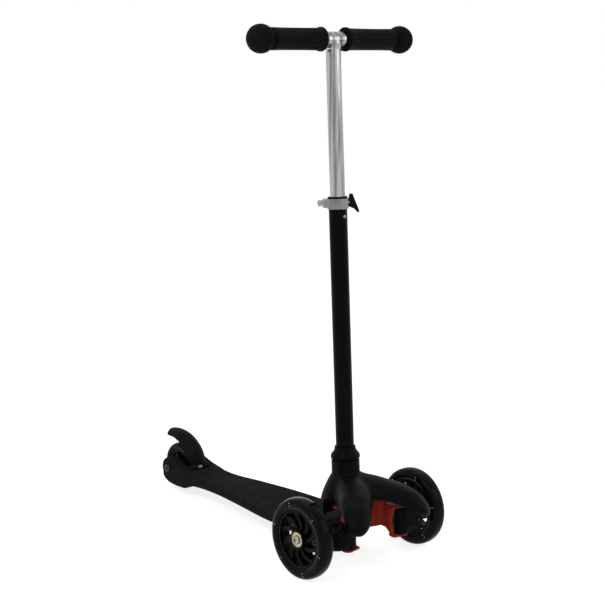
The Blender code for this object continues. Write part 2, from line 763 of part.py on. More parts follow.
def tie_rod(looks):
    """The cross link that turns both knuckles together, with a slotted block in its middle."""
    here = at(0, TIE_ROD_Y, TIE_ROD_Z)
    rod_end = KINGPIN_X - TIE_PIN_RADIUS - 1.5 * MM
    body = solid("tie_rod", rod(TIE_ROD_RADIUS, -rod_end, rod_end, 12), looks["steel"], here @ along_x())
    block = box(
        (-TIE_ROD_BLOCK_X, -TIE_ROD_BLOCK_FRONT, -TIE_ROD_BLOCK_Z),
        (TIE_ROD_BLOCK_X, TIE_ROD_BLOCK_BACK, TIE_ROD_BLOCK_Z),
    )
    add(body, block, here, "block")
    eye = KNUCKLE_LOW_Z + STEERING_ARM_THICKNESS + GAP - TIE_ROD_Z
    for word, side in SIDES.items():
        place = here @ Matrix.Translation((side * KINGPIN_X, 0, 0))
        add(body, rod(TIE_ROD_EYE_RADIUS, eye, -eye, 16), place, f"eye_{word}")
        cut(body, rod(TIE_PIN_RADIUS + 0.8 * MM, -8 * MM, 8 * MM, 12), place, f"eye_bore_{word}")
    slot_x = DRIVE_PIN_RADIUS + GAP
    slot_z = DRIVE_PIN_RADIUS + 1.2 * MM
    cut(body, box((-slot_x, -9 * MM, -slot_z), (slot_x, 9 * MM, slot_z)), here, "slot")


# Front shell


# Height, half width, front and rear of the dome's plan sections
DOME_SECTIONS = [
    (57 * MM, 41 * MM, -8 * MM, 69 * MM),
    (72 * MM, 42.5 * MM, -10 * MM, 69 * MM),
    (88 * MM, 43 * MM, -12 * MM, 66 * MM),
    (102 * MM, 41 * MM, -10 * MM, 62 * MM),
    (114 * MM, 36 * MM, -4 * MM, 58 * MM),
    (123 * MM, 29.5 * MM, 3 * MM, 55 * MM),
    (129 * MM, 24 * MM, 8.5 * MM, 53.5 * MM),
    (132 * MM, 21 * MM, 11.5 * MM, 52.5 * MM),
]

# The horns run from the stem axis forward and outward at this angle from straight ahead
HORN_ANGLE = math.radians(34.3)

# Each section: crest (along, z, degrees that its surface faces up), inner lip, outer lip
# (both along, across, z)
HORN_SECTIONS = [
    ((20, 131, 90), (20, -30, 95), (20, 20, 97)),
    ((42, 129, 88), (42, -34, 97.5), (40, 20.5, 97)),
    ((54, 126.5, 85), (54, -34.6, 99.5), (54, 21, 97)),
    ((66, 123.3, 80), (64, -33.5, 100.5), (64, 21, 97.5)),
    ((82, 119, 73), (75, -30, 97), (75, 21, 97.5)),
    ((96, 113, 65), (88, -26.3, 92), (86, 20.3, 97.3)),
    ((109, 107, 55), (99, -24, 87.5), (96, 18.8, 96)),
    ((119, 97.7, 40), (107, -22.3, 83.5), (104, 18, 91)),
    ((126.3, 88, 20), (113, -19.5, 79.5), (111, 17, 83.5)),
    ((129.4, 78.5, 0), (118.5, -14, 74.8), (117, 13.5, 78)),
    ((128, 72.5, 0), (123, -7, 71.2), (122.5, 7, 73)),
]


def horn_point(side, along, across, z):
    x = along * math.sin(HORN_ANGLE) + across * math.cos(HORN_ANGLE)
    y = across * math.sin(HORN_ANGLE) - along * math.cos(HORN_ANGLE)
    return (side * x * MM, STEM_FOOT_Y + y * MM, z * MM)


def horn_ring(side, crest, inner, outer, inset=0.0, drop=0.0):
    """A section of a horn: an arch from its inner lip over the crest to its outer lip."""
    steps = 4
    power = 0.85
    faces_up = math.radians(crest[2])
    back = inset * math.cos(faces_up)
    top = (crest[0] - back, crest[1] - inset * math.sin(faces_up))
    points = []
    for lip, inward, order in ((inner, 1, range(steps + 1)), (outer, -1, range(steps - 1, -1, -1))):
        foot = (lip[0] - back, lip[1] + inward * inset, lip[2])
        for i in order:
            angle = math.pi / 2 * i / steps
            rise = math.sin(angle) ** power
            along = foot[0] + (top[0] - foot[0]) * rise
            z = foot[2] + (top[1] - foot[2]) * rise
            points.append(horn_point(side, along, foot[1] * max(0.0, math.cos(angle)) ** power, z))
        if drop:
            end = horn_point(side, foot[0], foot[1], foot[2] - drop)
            points.insert(0 if inward > 0 else len(points), end)
    return points


# The front axle's place behind the middle of the whole length, from horn tips to rear tyre
HORN_REACH = -min(y for section in HORN_SECTIONS for _, y, _ in horn_ring(1, *section))
FRONT_AXLE_Y = (HORN_REACH - REAR_WHEEL_RADIUS - WHEELBASE) / 2


def dome_ring(z, half_width, front, rear, inset=0.0):
    steps = 20
    middle = (front + rear) / 2
    depth = (rear - front) / 2 - inset
    width = half_width - inset
    turn = 2 * math.pi / steps
    return [
        (width * math.cos(turn * i), middle + depth * math.sin(turn * i), z) for i in range(steps)
    ]


# Half outline of the front lug's top edge, which follows the roof down to its middle
FRONT_LUG_TOP = [(10 * MM, 128.4 * MM), (6 * MM, 127.6 * MM), (0, 123.2 * MM)]


def front_shell(looks):
    """The leaning cover: a dome open to the front, two horns, a neck and the lugs inside."""
    here = at(0, 0, 0)
    pivot = at(0, 0, LEAN_PIVOT_Z)
    dome = loft([dome_ring(*section) for section in DOME_SECTIONS])
    body = solid("front_shell", dome, looks["shell"], here, pivot)
    opening = [
        (-ARCH_CUT, 0),
        (ARCH_REAR_Y, 0),
        (ARCH_REAR_Y, ARCH_TOP_Z - 9 * MM),
        (ARCH_REAR_Y - 2.5 * MM, ARCH_TOP_Z - 3.3 * MM),
        (ARCH_REAR_Y - 8 * MM, ARCH_TOP_Z),
        (-ARCH_CUT, ARCH_TOP_Z),
    ]
    cut(body, plate_yz(opening, -ARCH_CUT, ARCH_CUT), here, "front_opening")
    for word, side in SIDES.items():
        add(body, loft([horn_ring(side, *section) for section in HORN_SECTIONS]), here, f"horn_{word}")
    add(body, rod(NECK_RADIUS, -4 * MM, NECK_TOP), stem(), "neck")
    hollow = [dome_ring(20 * MM, *DOME_SECTIONS[0][1:], WALL)]
    hollow += [
        dome_ring(z - (WALL if z > 100 * MM else 0), *rest, WALL) for z, *rest in DOME_SECTIONS
    ]
    cut(body, loft(hollow), here, "dome_hollow")
    wall = WALL / MM
    for word, side in SIDES.items():
        inside = [horn_ring(side, *section, wall, 40) for section in HORN_SECTIONS[:-2]]
        cut(body, loft(inside), here, f"horn_hollow_{word}")
    socket_bottom = OUTER_TUBE_BOTTOM - 3 * MM
    bore = OUTER_TUBE_RADIUS + GAP
    add(body, rod(bore + WALL + 0.6 * MM, socket_bottom, 8 * MM), stem(), "socket")
    front_lug_y = LEAN_BOSS_FRONT_Y - GAP - LEAN_LUG
    lug(body, "front_lug", front_lug_y, FRONT_LUG_TOP)
    lug(body, "rear_lug", REAR_LUG_Y, [(REAR_LUG_TOP_HALF, REAR_LUG_TOP_Z)])
    foot = box(
        (-5 * MM, REAR_LUG_Y + 0.5 * MM, TIE_ROD_Z - 3.5 * MM),
        (5 * MM, REAR_LUG_Y + LEAN_LUG - 0.5 * MM, LEAN_PIVOT_Z),
    )
    add(body, foot, here, "drive_foot")
    drive_pin = rod(DRIVE_PIN_RADIUS, TIE_ROD_Y - 2 * MM, REAR_LUG_Y + 2 * MM, 12)
    add(body, drive_pin, at(0, 0, TIE_ROD_Z) @ along_y(), "drive_pin")
    for word, side in SIDES.items():
        seat = rod(SPRING_SEAT_RADIUS, SPRING_SEAT_Z, SPRING_SEAT_Z + 13 * MM, 12)
        add(body, seat, at(side * SPRING_X, SPRING_Y, 0), f"spring_seat_{word}")
    cut(body, rod(bore, OUTER_TUBE_BOTTOM - GAP, NECK_TOP + 5 * MM, 24), stem(), "tube_bore")
    cut(body, rod(8 * MM, socket_bottom - 5 * MM, 0, 12), stem(), "drain")
    spigot_low = COLLAR_SPIGOT_LOW - GAP
    cut(body, rod(COLLAR_SPIGOT_RADIUS + GAP, spigot_low, NECK_TOP + 5 * MM, 24), stem(), "spigot_bore")
    cross = stem(STEM_PIN_S) @ along_x()
    cut(body, rod(STEM_PIN_RADIUS + GAP, -30 * MM, 30 * MM, 12), cross, "stem_pin_bore")
    bolt_bore = rod(LEAN_BOLT_RADIUS + GAP, -20 * MM, 60 * MM, 16)
    cut(body, bolt_bore, pivot @ along_y(), "pivot_bore")


def lug(body, label, y, top):
    """An upright plate from the roof of the shell down round the lean pivot."""
    outline = arc((0, LEAN_PIVOT_Z), LEAN_BOSS_RADIUS, 0, -180, 6)
    outline += [(-x, z) for x, z in top] + [(x, z) for x, z in reversed(top) if x > 0]
    plate = prism([(x, -height) for x, height in outline], y, y + LEAN_LUG)
    add(body, plate, at(0, 0, 0) @ along_y(), label)


def lean_pivot(looks):
    """The bolt and nut on which the shell leans."""
    front = LEAN_BOSS_FRONT_Y - LEAN_LUG - 2 * GAP
    rear = REAR_LUG_Y + LEAN_LUG + GAP
    place = at(0, front, LEAN_PIVOT_Z) @ Matrix.Rotation(math.pi / 2, 4, "X")
    button_head_bolt(
        "lean_pivot_bolt", looks["steel"], place, LEAN_BOLT_RADIUS, LEAN_HEAD_RADIUS,
        LEAN_HEAD_HEIGHT, rear - front + AXLE_NUT_HEIGHT + 1 * MM,
    )
    nut = at(0, rear, LEAN_PIVOT_Z) @ along_y()
    hex_nut("lean_pivot_nut", looks["steel"], nut, HUB_BORE, AXLE_NUT_RADIUS, AXLE_NUT_HEIGHT)


def centring_springs(looks):
    low = BRACKET_TOP_Z - 0.5 * MM + SPRING_WIRE + GAP
    pitch = (SPRING_SEAT_Z - GAP - SPRING_WIRE - low) / SPRING_TURNS
    for word, side in SIDES.items():
        points = helix(SPRING_RADIUS, 0, SPRING_TURNS, pitch)
        place = at(side * SPRING_X, SPRING_Y, low)
        coil(f"centring_spring_{word}", looks["steel"], place, points, SPRING_WIRE, pitch)


# Stem, clamp and handlebar


def collar(looks):
    bore = OUTER_TUBE_RADIUS + GAP
    lip_low = NECK_TOP + 1.4 * MM
    profile = [
        (bore, COLLAR_SPIGOT_LOW),
        (COLLAR_SPIGOT_RADIUS, COLLAR_SPIGOT_LOW),
        (COLLAR_SPIGOT_RADIUS, lip_low),
        (COLLAR_LIP_RADIUS, lip_low),
        (COLLAR_LIP_RADIUS, lip_low + 5.5 * MM),
        (COLLAR_LIP_RADIUS - 1.5 * MM, lip_low + 8 * MM),
        (OUTER_TUBE_RADIUS + 2.2 * MM, COLLAR_TOP - 4 * MM),
        (OUTER_TUBE_RADIUS + 1.8 * MM, COLLAR_TOP),
        (bore, COLLAR_TOP),
    ]
    solid("stem_collar", turned(profile, 24, ring=True), looks["collar"], stem())


def outer_tube(looks):
    bore = OUTER_TUBE_RADIUS - OUTER_TUBE_WALL
    body = solid(
        "stem_outer_tube", tube(OUTER_TUBE_RADIUS, bore, OUTER_TUBE_BOTTOM, OUTER_TUBE_TOP, 24),
        looks["stem"], stem(),
    )
    cross = stem(STEM_PIN_S) @ along_x()
    cut(body, rod(STEM_PIN_RADIUS + GAP, -30 * MM, 30 * MM, 12), cross, "stem_pin_hole")
    forward = stem(BUTTON_S) @ along_y()
    cut(body, rod(BUTTON_RADIUS + GAP, -30 * MM, 0, 12), forward, "button_hole")
    pin = rod(STEM_PIN_RADIUS, -STEM_PIN_HALF, STEM_PIN_HALF, 12)
    solid("stem_cross_pin", pin, looks["steel"], cross)


def tube_bushing(looks):
    bore = INNER_TUBE_RADIUS + GAP
    sleeve = OUTER_TUBE_RADIUS - OUTER_TUBE_WALL - GAP
    top = OUTER_TUBE_TOP + GAP
    profile = [
        (bore, top - 20 * MM),
        (sleeve, top - 20 * MM),
        (sleeve, top),
        (OUTER_TUBE_RADIUS + 1.2 * MM, top),
        (OUTER_TUBE_RADIUS + 1.2 * MM, top + 1.8 * MM),
        (OUTER_TUBE_RADIUS + 0.4 * MM, top + 2.6 * MM),
        (bore, top + 2.6 * MM),
    ]
    solid("stem_tube_bushing", turned(profile, 24, ring=True), looks["collar"], stem())


def clamp(looks):
    """The quick-release clamp: a split ring with lugs, a cross bolt with its nut, and a cam lever."""
    low = OUTER_TUBE_TOP - CLAMP_HEIGHT
    frame = stem(low + CLAMP_HEIGHT / 2) @ Matrix.Rotation(CLAMP_TURN, 4, "Z")
    half = CLAMP_HEIGHT / 2
    bore = OUTER_TUBE_RADIUS + GAP
    outer = bore + CLAMP_WALL
    body = solid("clamp_ring", rod(outer, -half, half, 24), looks["alloy"], frame)
    lug_half = half - 1 * MM
    lug_front = 12 * MM
    lug_back = CLAMP_BOLT_OFFSET + 4.6 * MM
    lug_right = 11 * MM
    lug_left = -22 * MM
    lug = [
        (lug_left, lug_back),
        (lug_left, lug_front),
        (lug_right, lug_front - 2 * MM),
        (lug_right, lug_back),
    ]
    add(body, prism(lug, -lug_half, lug_half), frame, "lugs")
    cut(body, rod(bore, -2 * half, 2 * half, 24), frame, "bore")
    slit = 1.5 * MM
    cut(body, box((-slit, bore - 3 * MM, -2 * half), (slit, 2 * lug_back, 2 * half)), frame, "slit")
    axis = frame @ Matrix.Translation((0, CLAMP_BOLT_OFFSET, 0)) @ along_x()
    cut(body, rod(CLAMP_BOLT_RADIUS + GAP, -50 * MM, 50 * MM, 12), axis, "bolt_bore")
    nut_height = 6.5 * MM
    nut = axis @ Matrix.Translation((0, 0, lug_left - GAP)) @ Matrix.Rotation(math.pi, 4, "X")
    hex_nut("clamp_nut", looks["steel"], nut, CLAMP_BOLT_RADIUS + GAP, 5.2 * MM, nut_height)
    lever_x = lug_right + 5.4 * MM
    shank_low = lug_left - nut_height - 1.5 * MM
    bolt = solid("clamp_bolt", rod(CLAMP_BOLT_RADIUS, shank_low, lever_x, 12), looks["steel"], axis)
    pin_axis = axis @ Matrix.Translation((0, 0, lever_x)) @ Matrix.Rotation(math.pi / 2, 4, "X")
    eye_half = 2.6 * MM
    add(bolt, rod(3.9 * MM, -eye_half, eye_half, 16), pin_axis, "eye")
    pin_radius = 1.6 * MM
    cut(bolt, rod(pin_radius + GAP, -20 * MM, 20 * MM, 12), pin_axis, "eye_bore")
    lever_half = 6.5 * MM
    solid("clamp_lever_pin", rod(pin_radius, -lever_half, lever_half, 12), looks["steel"], pin_axis)
    lever_frame = frame @ Matrix.Translation((lever_x, CLAMP_BOLT_OFFSET, 0)) @ along_y()
    lever = lever_shape(lever_half)
    cam = solid("clamp_lever", lever, looks["lever"], lever_frame)
    slot_half = eye_half + GAP
    slot_outline = [(-9 * MM, -7 * MM), (5.2 * MM, -7 * MM), (5.2 * MM, 7 * MM), (-9 * MM, 7 * MM)]
    cut(cam, prism(slot_outline, -slot_half, slot_half), lever_frame, "eye_slot")
    cut(cam, rod(pin_radius + GAP, -20 * MM, 20 * MM, 12), lever_frame, "pin_bore")


def lever_shape(half):
    """The cam lever, drawn in a plane where x runs along the bolt and -y is up the stem."""
    cam = 5 * MM
    outline = [(x, -y) for x, y in arc((0, 0), cam, 90, 250, 6)]
    outline += [
        (2.5 * MM, 7 * MM),
        (7.5 * MM, 9 * MM),
        (13 * MM, 15 * MM),
        (15.5 * MM, 13.5 * MM),
        (12 * MM, 3 * MM),
        (8 * MM, -8 * MM),
        (6 * MM, -12.5 * MM),
        (1.5 * MM, -12.5 * MM),
    ]
    return prism(outline, -half, half)


def handlebar(looks):
    """The inner tube and the crossbar, welded into a T, both open at their ends."""
    bore = INNER_TUBE_RADIUS - INNER_TUBE_WALL
    top = HANDLEBAR_S
    upright = rod(INNER_TUBE_RADIUS, INNER_TUBE_BOTTOM, top, 24)
    body = solid("handlebar_tee", upright, looks["chrome"], stem())
    cross = stem(top) @ along_x()
    half = HANDLEBAR_HALF_LENGTH
    add(body, rod(INNER_TUBE_RADIUS, -half, half, 24), cross, "crossbar")
    weld = [
        (INNER_TUBE_RADIUS - 1 * MM, top - 15 * MM),
        (INNER_TUBE_RADIUS + 0.2 * MM, top - 14.5 * MM),
        (INNER_TUBE_RADIUS + 1.8 * MM, top - 9 * MM),
        (INNER_TUBE_RADIUS + 1.8 * MM, top - 2 * MM),
        (INNER_TUBE_RADIUS - 1 * MM, top - 1 * MM),
    ]
    add(body, turned(weld, 24), stem(), "weld")
    cut(body, rod(bore, -2 * half, 2 * half, 24), cross, "cross_bore")
    cut(body, rod(bore, INNER_TUBE_BOTTOM - 20 * MM, top - 2 * MM), stem(), "upright_bore")
    for i in range(HEIGHT_STEPS + 1):
        forward = stem(BUTTON_S - i * HEIGHT_STEP) @ along_y()
        cut(body, rod(BUTTON_RADIUS + 2 * GAP, -30 * MM, 0, 10), forward, f"height_hole_{i}")


def grip(word, side, looks):
    bore = INNER_TUBE_RADIUS + GAP
    seat = HANDLEBAR_HALF_LENGTH + GAP
    ball_x = GRIP_OUTER_X - GRIP_BALL_RADIUS
    neck_x = ball_x - 17 * MM
    profile = [
        (0, seat),
        (bore, seat),
        (bore, GRIP_INNER_X),
        (GRIP_FLANGE_RADIUS, GRIP_INNER_X),
        (GRIP_FLANGE_RADIUS, GRIP_INNER_X + 3 * MM),
        (GRIP_RADIUS, GRIP_INNER_X + 5 * MM),
        (GRIP_RADIUS - 0.4 * MM, (GRIP_INNER_X + neck_x) / 2),
        (GRIP_RADIUS, neck_x),
    ]
    turn_steps = 5
    start = 35
    profile += [
        (max(0.0, y), x)
        for x, y in arc((ball_x, 0), GRIP_BALL_RADIUS, 180 - start, 0, turn_steps)
    ]
    solid(f"grip_{word}", turned(profile), looks["grip"], stem(HANDLEBAR_S) @ along_x(side))


def height_button(looks):
    """The round lock button in the outer tube, and the leaf spring in the tube behind it."""
    profile = [
        (0, INNER_TUBE_RADIUS + GAP),
        (BUTTON_RADIUS, INNER_TUBE_RADIUS + GAP),
        (BUTTON_RADIUS, OUTER_TUBE_RADIUS + 1 * MM),
        (0.6 * BUTTON_RADIUS, OUTER_TUBE_RADIUS + 1.8 * MM),
        (0, OUTER_TUBE_RADIUS + 2 * MM),
    ]
    forward = stem(BUTTON_S) @ Matrix.Rotation(math.pi / 2, 4, "X")
    solid("height_button", turned(profile, 12), looks["alloy"], forward)
    reach = INNER_TUBE_RADIUS - INNER_TUBE_WALL - 3 * GAP
    thick = 0.7 * MM
    fold = 34 * MM
    dip = 3.2 * MM
    outline = [
        (-reach + dip, 6 * MM),
        (-reach + dip + thick, 6 * MM),
        (-reach + dip + thick, -8 * MM),
        (-1.2 * MM, -fold + 3 * MM),
        (1.2 * MM, -fold + 3 * MM),
        (reach - thick, -4 * MM),
        (reach - thick, 6 * MM),
        (reach, 6 * MM),
        (reach, -4 * MM),
        (2.4 * MM, -fold),
        (-2.4 * MM, -fold),
        (-reach + dip, -8 * MM),
    ]
    half = 2.4 * MM
    solid("button_leaf_spring", plate_yz(outline, -half, half), looks["steel"], stem(BUTTON_S))


# Deck and brake


# Share of the way from the deck's front to the wheel slot, half width, drop of the top and of
# the bottom, for the deck's sections
DECK_OUTLINE = [
    (0.0, 43 * MM, 0, 0),
    (0.05, 48.5 * MM, 0, 0),
    (0.11, 54 * MM, 0, 0),
    (0.19, 57 * MM, 0, 0),
    (0.33, 56 * MM, 0, 0),
    (0.48, 50 * MM, 0, 0),
    (0.66, 42 * MM, 1.5 * MM, 1 * MM),
    (0.81, 36.5 * MM, 4 * MM, 4 * MM),
    (0.92, 34.5 * MM, 3 * MM, 8 * MM),
    (1.01, FORK_OUTER_X, 0, 14 * MM),
]
DECK_SECTIONS = [
    (
        DECK_FRONT_Y + (WHEEL_SLOT_Y - DECK_FRONT_Y) * share,
        half_width,
        DECK_TOP_Z - top_drop,
        DECK_LOW_Z - low_drop,
    )
    for share, half_width, top_drop, low_drop in DECK_OUTLINE
]


def deck_ring(y, half_width, top, low, inset=0.0):
    """A cross-section of the deck: upright sides, rounded shoulders and a slightly crowned top."""
    side = half_width - inset
    roof = top - DECK_CROWN if inset == 0.0 else top - DECK_PLATE
    right = [
        (side - 1 * MM, low),
        (side, low + 2 * MM),
        (side, roof - DECK_CORNER),
        (side - 0.3 * DECK_CORNER, roof - 0.3 * DECK_CORNER),
        (side - DECK_CORNER, roof),
    ]
    if inset == 0.0:
        right.append((0.5 * side, roof + 0.75 * DECK_CROWN))
    left = [(-x, z) for x, z in reversed(right)]
    return [(x, y, z) for x, z in right + left]


def deck(looks):
    here = at(0, 0, 0)
    outside = loft([deck_ring(*section) for section in DECK_SECTIONS])
    body = solid("deck_board", outside, looks["deck"], here)
    for word, side in SIDES.items():
        low_x, high_x = sorted((side * FORK_INNER_X, side * (FORK_OUTER_X - 0.2 * MM)))
        add(body, plate_yz(fork_outline(), low_x, high_x), here, f"fork_{word}")
    slot = box(
        (-FORK_INNER_X, WHEEL_SLOT_Y, 0),
        (FORK_INNER_X, WHEELBASE + 2 * REAR_WHEEL_RADIUS, 2 * DECK_TOP_Z),
    )
    cut(body, slot, here, "wheel_slot")
    hollow = [(DECK_FRONT_Y - 5 * MM, *DECK_SECTIONS[0][1:])] + DECK_SECTIONS[:-1]
    hollow = [(y, half, top, low - 30 * MM) for y, half, top, low in hollow]
    cut(body, loft([deck_ring(*section, WALL) for section in hollow]), here, "underside")
    rib_step = (WHEEL_SLOT_Y - LAST_RIB_TO_SLOT - FIRST_RIB_Y) / (DECK_RIB_COUNT - 1)
    for i in range(DECK_RIB_COUNT):
        y = FIRST_RIB_Y + i * rib_step
        half, top = deck_size_at(y)
        side = half - WALL + RIB_SINK
        rib_top = top - DECK_PLATE + RIB_SINK
        rib = box((-side, y, DECK_LOW_Z + 2 * MM), (side, y + DECK_RIB, rib_top))
        add(body, rib, here, f"rib_{i + 1}")
    pocket = BRAKE_BARREL_END_X + GAP
    pin = at(0, BRAKE_PIN_Y, BRAKE_PIN_Z) @ along_x()
    for word, side in SIDES.items():
        low_x, high_x = sorted((side * (pocket - 2 * MM), side * (pocket + BRAKE_LUG)))
        add(body, rod(BRAKE_BARREL_RADIUS, low_x, high_x, 12), pin, f"brake_lug_{word}")
    front = BRAKE_PIN_Y - BRAKE_BARREL_RADIUS - RUNNING_GAP
    low = BRAKE_PIN_Z - BRAKE_BARREL_RADIUS - RUNNING_GAP
    room = box((-pocket, front, low), (pocket, WHEEL_SLOT_Y + 3 * MM, 2 * DECK_TOP_Z))
    cut(body, room, here, "brake_pocket")
    half = BRAKE_PIN_HALF + GAP
    cut(body, rod(BRAKE_PIN_RADIUS + GAP, -half, half, 12), pin, "brake_pin_bore")
    axle = at(0, WHEELBASE, REAR_WHEEL_RADIUS) @ along_x()
    reach = FORK_OUTER_X + 20 * MM
    cut(body, rod(HUB_BORE, -reach, reach, 12), axle, "axle_bore")
    for i, (x, y) in enumerate(deck_screw_places(), 1):
        depth = DECK_TOP_Z - 1.4 * MM
        bore = rod(DECK_SCREW_RADIUS + GAP, DECK_LOW_Z, depth, 10)
        cut(body, bore, at(x, y, 0), f"screw_hole_{i}")


def fork_outline():
    """The outline, in (y, z), of an ear that carries the rear axle."""
    axle_z = REAR_WHEEL_RADIUS
    outline = [
        (WHEEL_SLOT_Y - 30 * MM, DECK_TOP_Z - 4 * MM),
        (WHEEL_SLOT_Y - 30 * MM, DECK_LOW_Z - 6 * MM),
        (WHEEL_SLOT_Y - 16 * MM, DECK_LOW_Z - 14 * MM),
        (WHEEL_SLOT_Y - 4 * MM, DECK_LOW_Z - 18.5 * MM),
        (WHEEL_SLOT_Y + 19 * MM, DECK_LOW_Z - 19.8 * MM),
        (WHEEL_SLOT_Y + 32 * MM, DECK_LOW_Z - 19.4 * MM),
        (WHEELBASE, axle_z - 25 * MM),
        (WHEELBASE + 9.5 * MM, axle_z - 21.5 * MM),
        (WHEELBASE + 15.3 * MM, axle_z - 16.5 * MM),
    ]
    outline += arc((WHEELBASE, axle_z), FORK_RADIUS, -25, 100, 6)
    outline.append((WHEEL_SLOT_Y + 22 * MM, DECK_TOP_Z + 6 * MM))
    outline.append((WHEEL_SLOT_Y + 5 * MM, DECK_TOP_Z + 1.5 * MM))
    return outline


def deck_size_at(y):
    """The deck's half width and top height at a station, between its sections."""
    for (y0, half0, top0, _), (y1, half1, top1, _) in zip(DECK_SECTIONS, DECK_SECTIONS[1:]):
        if y0 <= y <= y1:
            share = (y - y0) / (y1 - y0)
            return half0 + (half1 - half0) * share, top0 + (top1 - top0) * share
    return DECK_SECTIONS[-1][1:3]


# The brake fender's middle line, as degrees round the rear axle up from the rear and a height
# over the tyre, with its half width and how far its edges hang
FENDER_LINE = [
    (170.4, 8.2 * MM, 12.4 * MM, 1 * MM),
    (163.4, 9 * MM, 13.2 * MM, 2.5 * MM),
    (149.7, 11.5 * MM, 15.7 * MM, 6 * MM),
    (135, 13.7 * MM, 16.5 * MM, 8.5 * MM),
    (118.2, 16.1 * MM, 16.5 * MM, 10 * MM),
    (101.4, 18.1 * MM, 16.5 * MM, 10.5 * MM),
    (85.7, 20.2 * MM, 16 * MM, 9.5 * MM),
    (72, 23.1 * MM, 15.5 * MM, 8.5 * MM),
    (63.2, 25.5 * MM, 14.5 * MM, 8 * MM),
    (58.8, 26.6 * MM, 11 * MM, 6 * MM),
]


def brake_fender(looks):
    """The sprung fender over the rear wheel, curved across and rounded at its tip."""
    places = []
    for degrees, height, _, _ in FENDER_LINE:
        angle = math.radians(degrees)
        reach = REAR_WHEEL_RADIUS + height
        y, z = reach * math.cos(angle), reach * math.sin(angle)
        places.append(Vector((WHEELBASE + y, REAR_WHEEL_RADIUS + z)))
    rings = []
    for i, ((y, z), (_, _, half, hang)) in enumerate(zip(places, FENDER_LINE)):
        run = (places[min(i + 1, len(places) - 1)] - places[max(i - 1, 0)]).normalized()
        normal = Vector((-run.y, run.x))
        ring = []
        steps = 6
        for sign in (1, -1):
            for k in range(steps + 1):
                across = sign * (2 * k / steps - 1)
                lift = sign * BRAKE_THICKNESS / 2 * (1 - 0.35 * across**4) - hang * across * across
                ring.append((across * half, y + normal.x * lift, z + normal.y * lift))
        rings.append(ring)
    pin = at(0, BRAKE_PIN_Y, BRAKE_PIN_Z)
    body = solid("brake_fender", loft(rings), looks["fender"], at(0, 0, 0), pin)
    axis = pin @ along_x()
    barrel = rod(BRAKE_BARREL_RADIUS, -BRAKE_BARREL_END_X, BRAKE_BARREL_END_X, 16)
    add(body, barrel, axis, "barrel")
    reach = BRAKE_BARREL_RADIUS + 2 * MM
    relief = box(
        (-BRAKE_RELIEF_X, -reach, -reach), (BRAKE_RELIEF_X, reach - 2 * MM, reach - 1 * MM)
    )
    cut(body, relief, pin, "spring_relief")
    cut(body, rod(BRAKE_PIN_RADIUS + GAP, -30 * MM, 30 * MM, 12), axis, "pin_bore")
    solid("brake_pin", rod(BRAKE_PIN_RADIUS, -BRAKE_PIN_HALF, BRAKE_PIN_HALF, 12), looks["steel"], axis)


def brake_spring(looks):
    """The torsion spring round the brake pin: a close coil with a leg at each end."""
    wire = BRAKE_SPRING_WIRE
    radius = BRAKE_PIN_RADIUS + 0.5 * MM + wire
    pitch = 2 * wire + 0.6 * MM
    length = BRAKE_SPRING_TURNS * pitch
    place = at(0, BRAKE_PIN_Y, BRAKE_PIN_Z) @ along_x()
    wound = helix(radius, -length / 2, BRAKE_SPRING_TURNS, pitch, math.pi)
    first = Vector((-radius, 4.2 * MM, -length / 2))
    last = Vector((-radius, -3.9 * MM, length / 2))
    points = [first] + wound + [last]
    coil("brake_spring", looks["steel"], place, points, wire, pitch)


def main():
    clear_scene()
    looks = {
        "clear_tyre": material("smoked_polyurethane", (0.035, 0.035, 0.038), 0.15),
        "rear_tyre": material("black_polyurethane", (0.02, 0.02, 0.021), 0.35),
        "core": material("black_wheel_core", (0.012, 0.012, 0.013), 0.4),
        "bearing": material("bearing_steel", (0.62, 0.58, 0.47), 0.25, 1.0),
        "steel": material("zinc_steel", (0.6, 0.6, 0.6), 0.35, 1.0),
        "alloy": material("satin_alloy", (0.72, 0.72, 0.73), 0.35, 1.0),
        "chrome": material("chromed_tube", (0.75, 0.76, 0.78), 0.15, 1.0),
        "stem": material("black_painted_tube", (0.012, 0.012, 0.013), 0.4),
        "collar": material("black_collar_plastic", (0.01, 0.01, 0.011), 0.45),
        "shell": material("black_shell_plastic", (0.014, 0.014, 0.016), 0.55),
        "knuckle": material("black_knuckle_plastic", (0.012, 0.012, 0.013), 0.5),
        "bracket": material("red_plastic", (0.235, 0.022, 0.01), 0.45),
        "deck": material("charcoal_deck", (0.03, 0.03, 0.031), 0.6),
        "fender": material("charcoal_fender", (0.027, 0.027, 0.029), 0.5),
        "grip": material("black_grip_rubber", (0.01, 0.01, 0.01), 0.7),
        "lever": material("black_lever", (0.01, 0.01, 0.011), 0.35),
    }
    for word, side in SIDES.items():
        front_wheel(word, side, looks)
        knuckle(word, side, looks)
        kingpin(word, side, looks)
        grip(word, side, looks)
    rear_wheel(looks)
    steering_bracket(looks)
    deck_screws(looks)
    tie_rod(looks)
    front_shell(looks)
    lean_pivot(looks)
    centring_springs(looks)
    collar(looks)
    outer_tube(looks)
    tube_bushing(looks)
    clamp(looks)
    handlebar(looks)
    height_button(looks)
    deck(looks)
    brake_fender(looks)
    brake_spring(looks)


main()
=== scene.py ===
"""Looks of a three-wheel kick scooter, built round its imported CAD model.

Each piece is shaped on the bench in millimetres about its own axis and is then settled into its
place, in metres. The front faces -Y, +X is the rider's left and the floor lies at Z 0. Stations
count y from the front axle towards the rear.
"""

import json
import logging
import math
from collections.abc import Callable, Iterator, Sequence
from contextlib import contextmanager
from dataclasses import dataclass, field
from enum import Enum

import bpy
from mathutils import Matrix, Vector


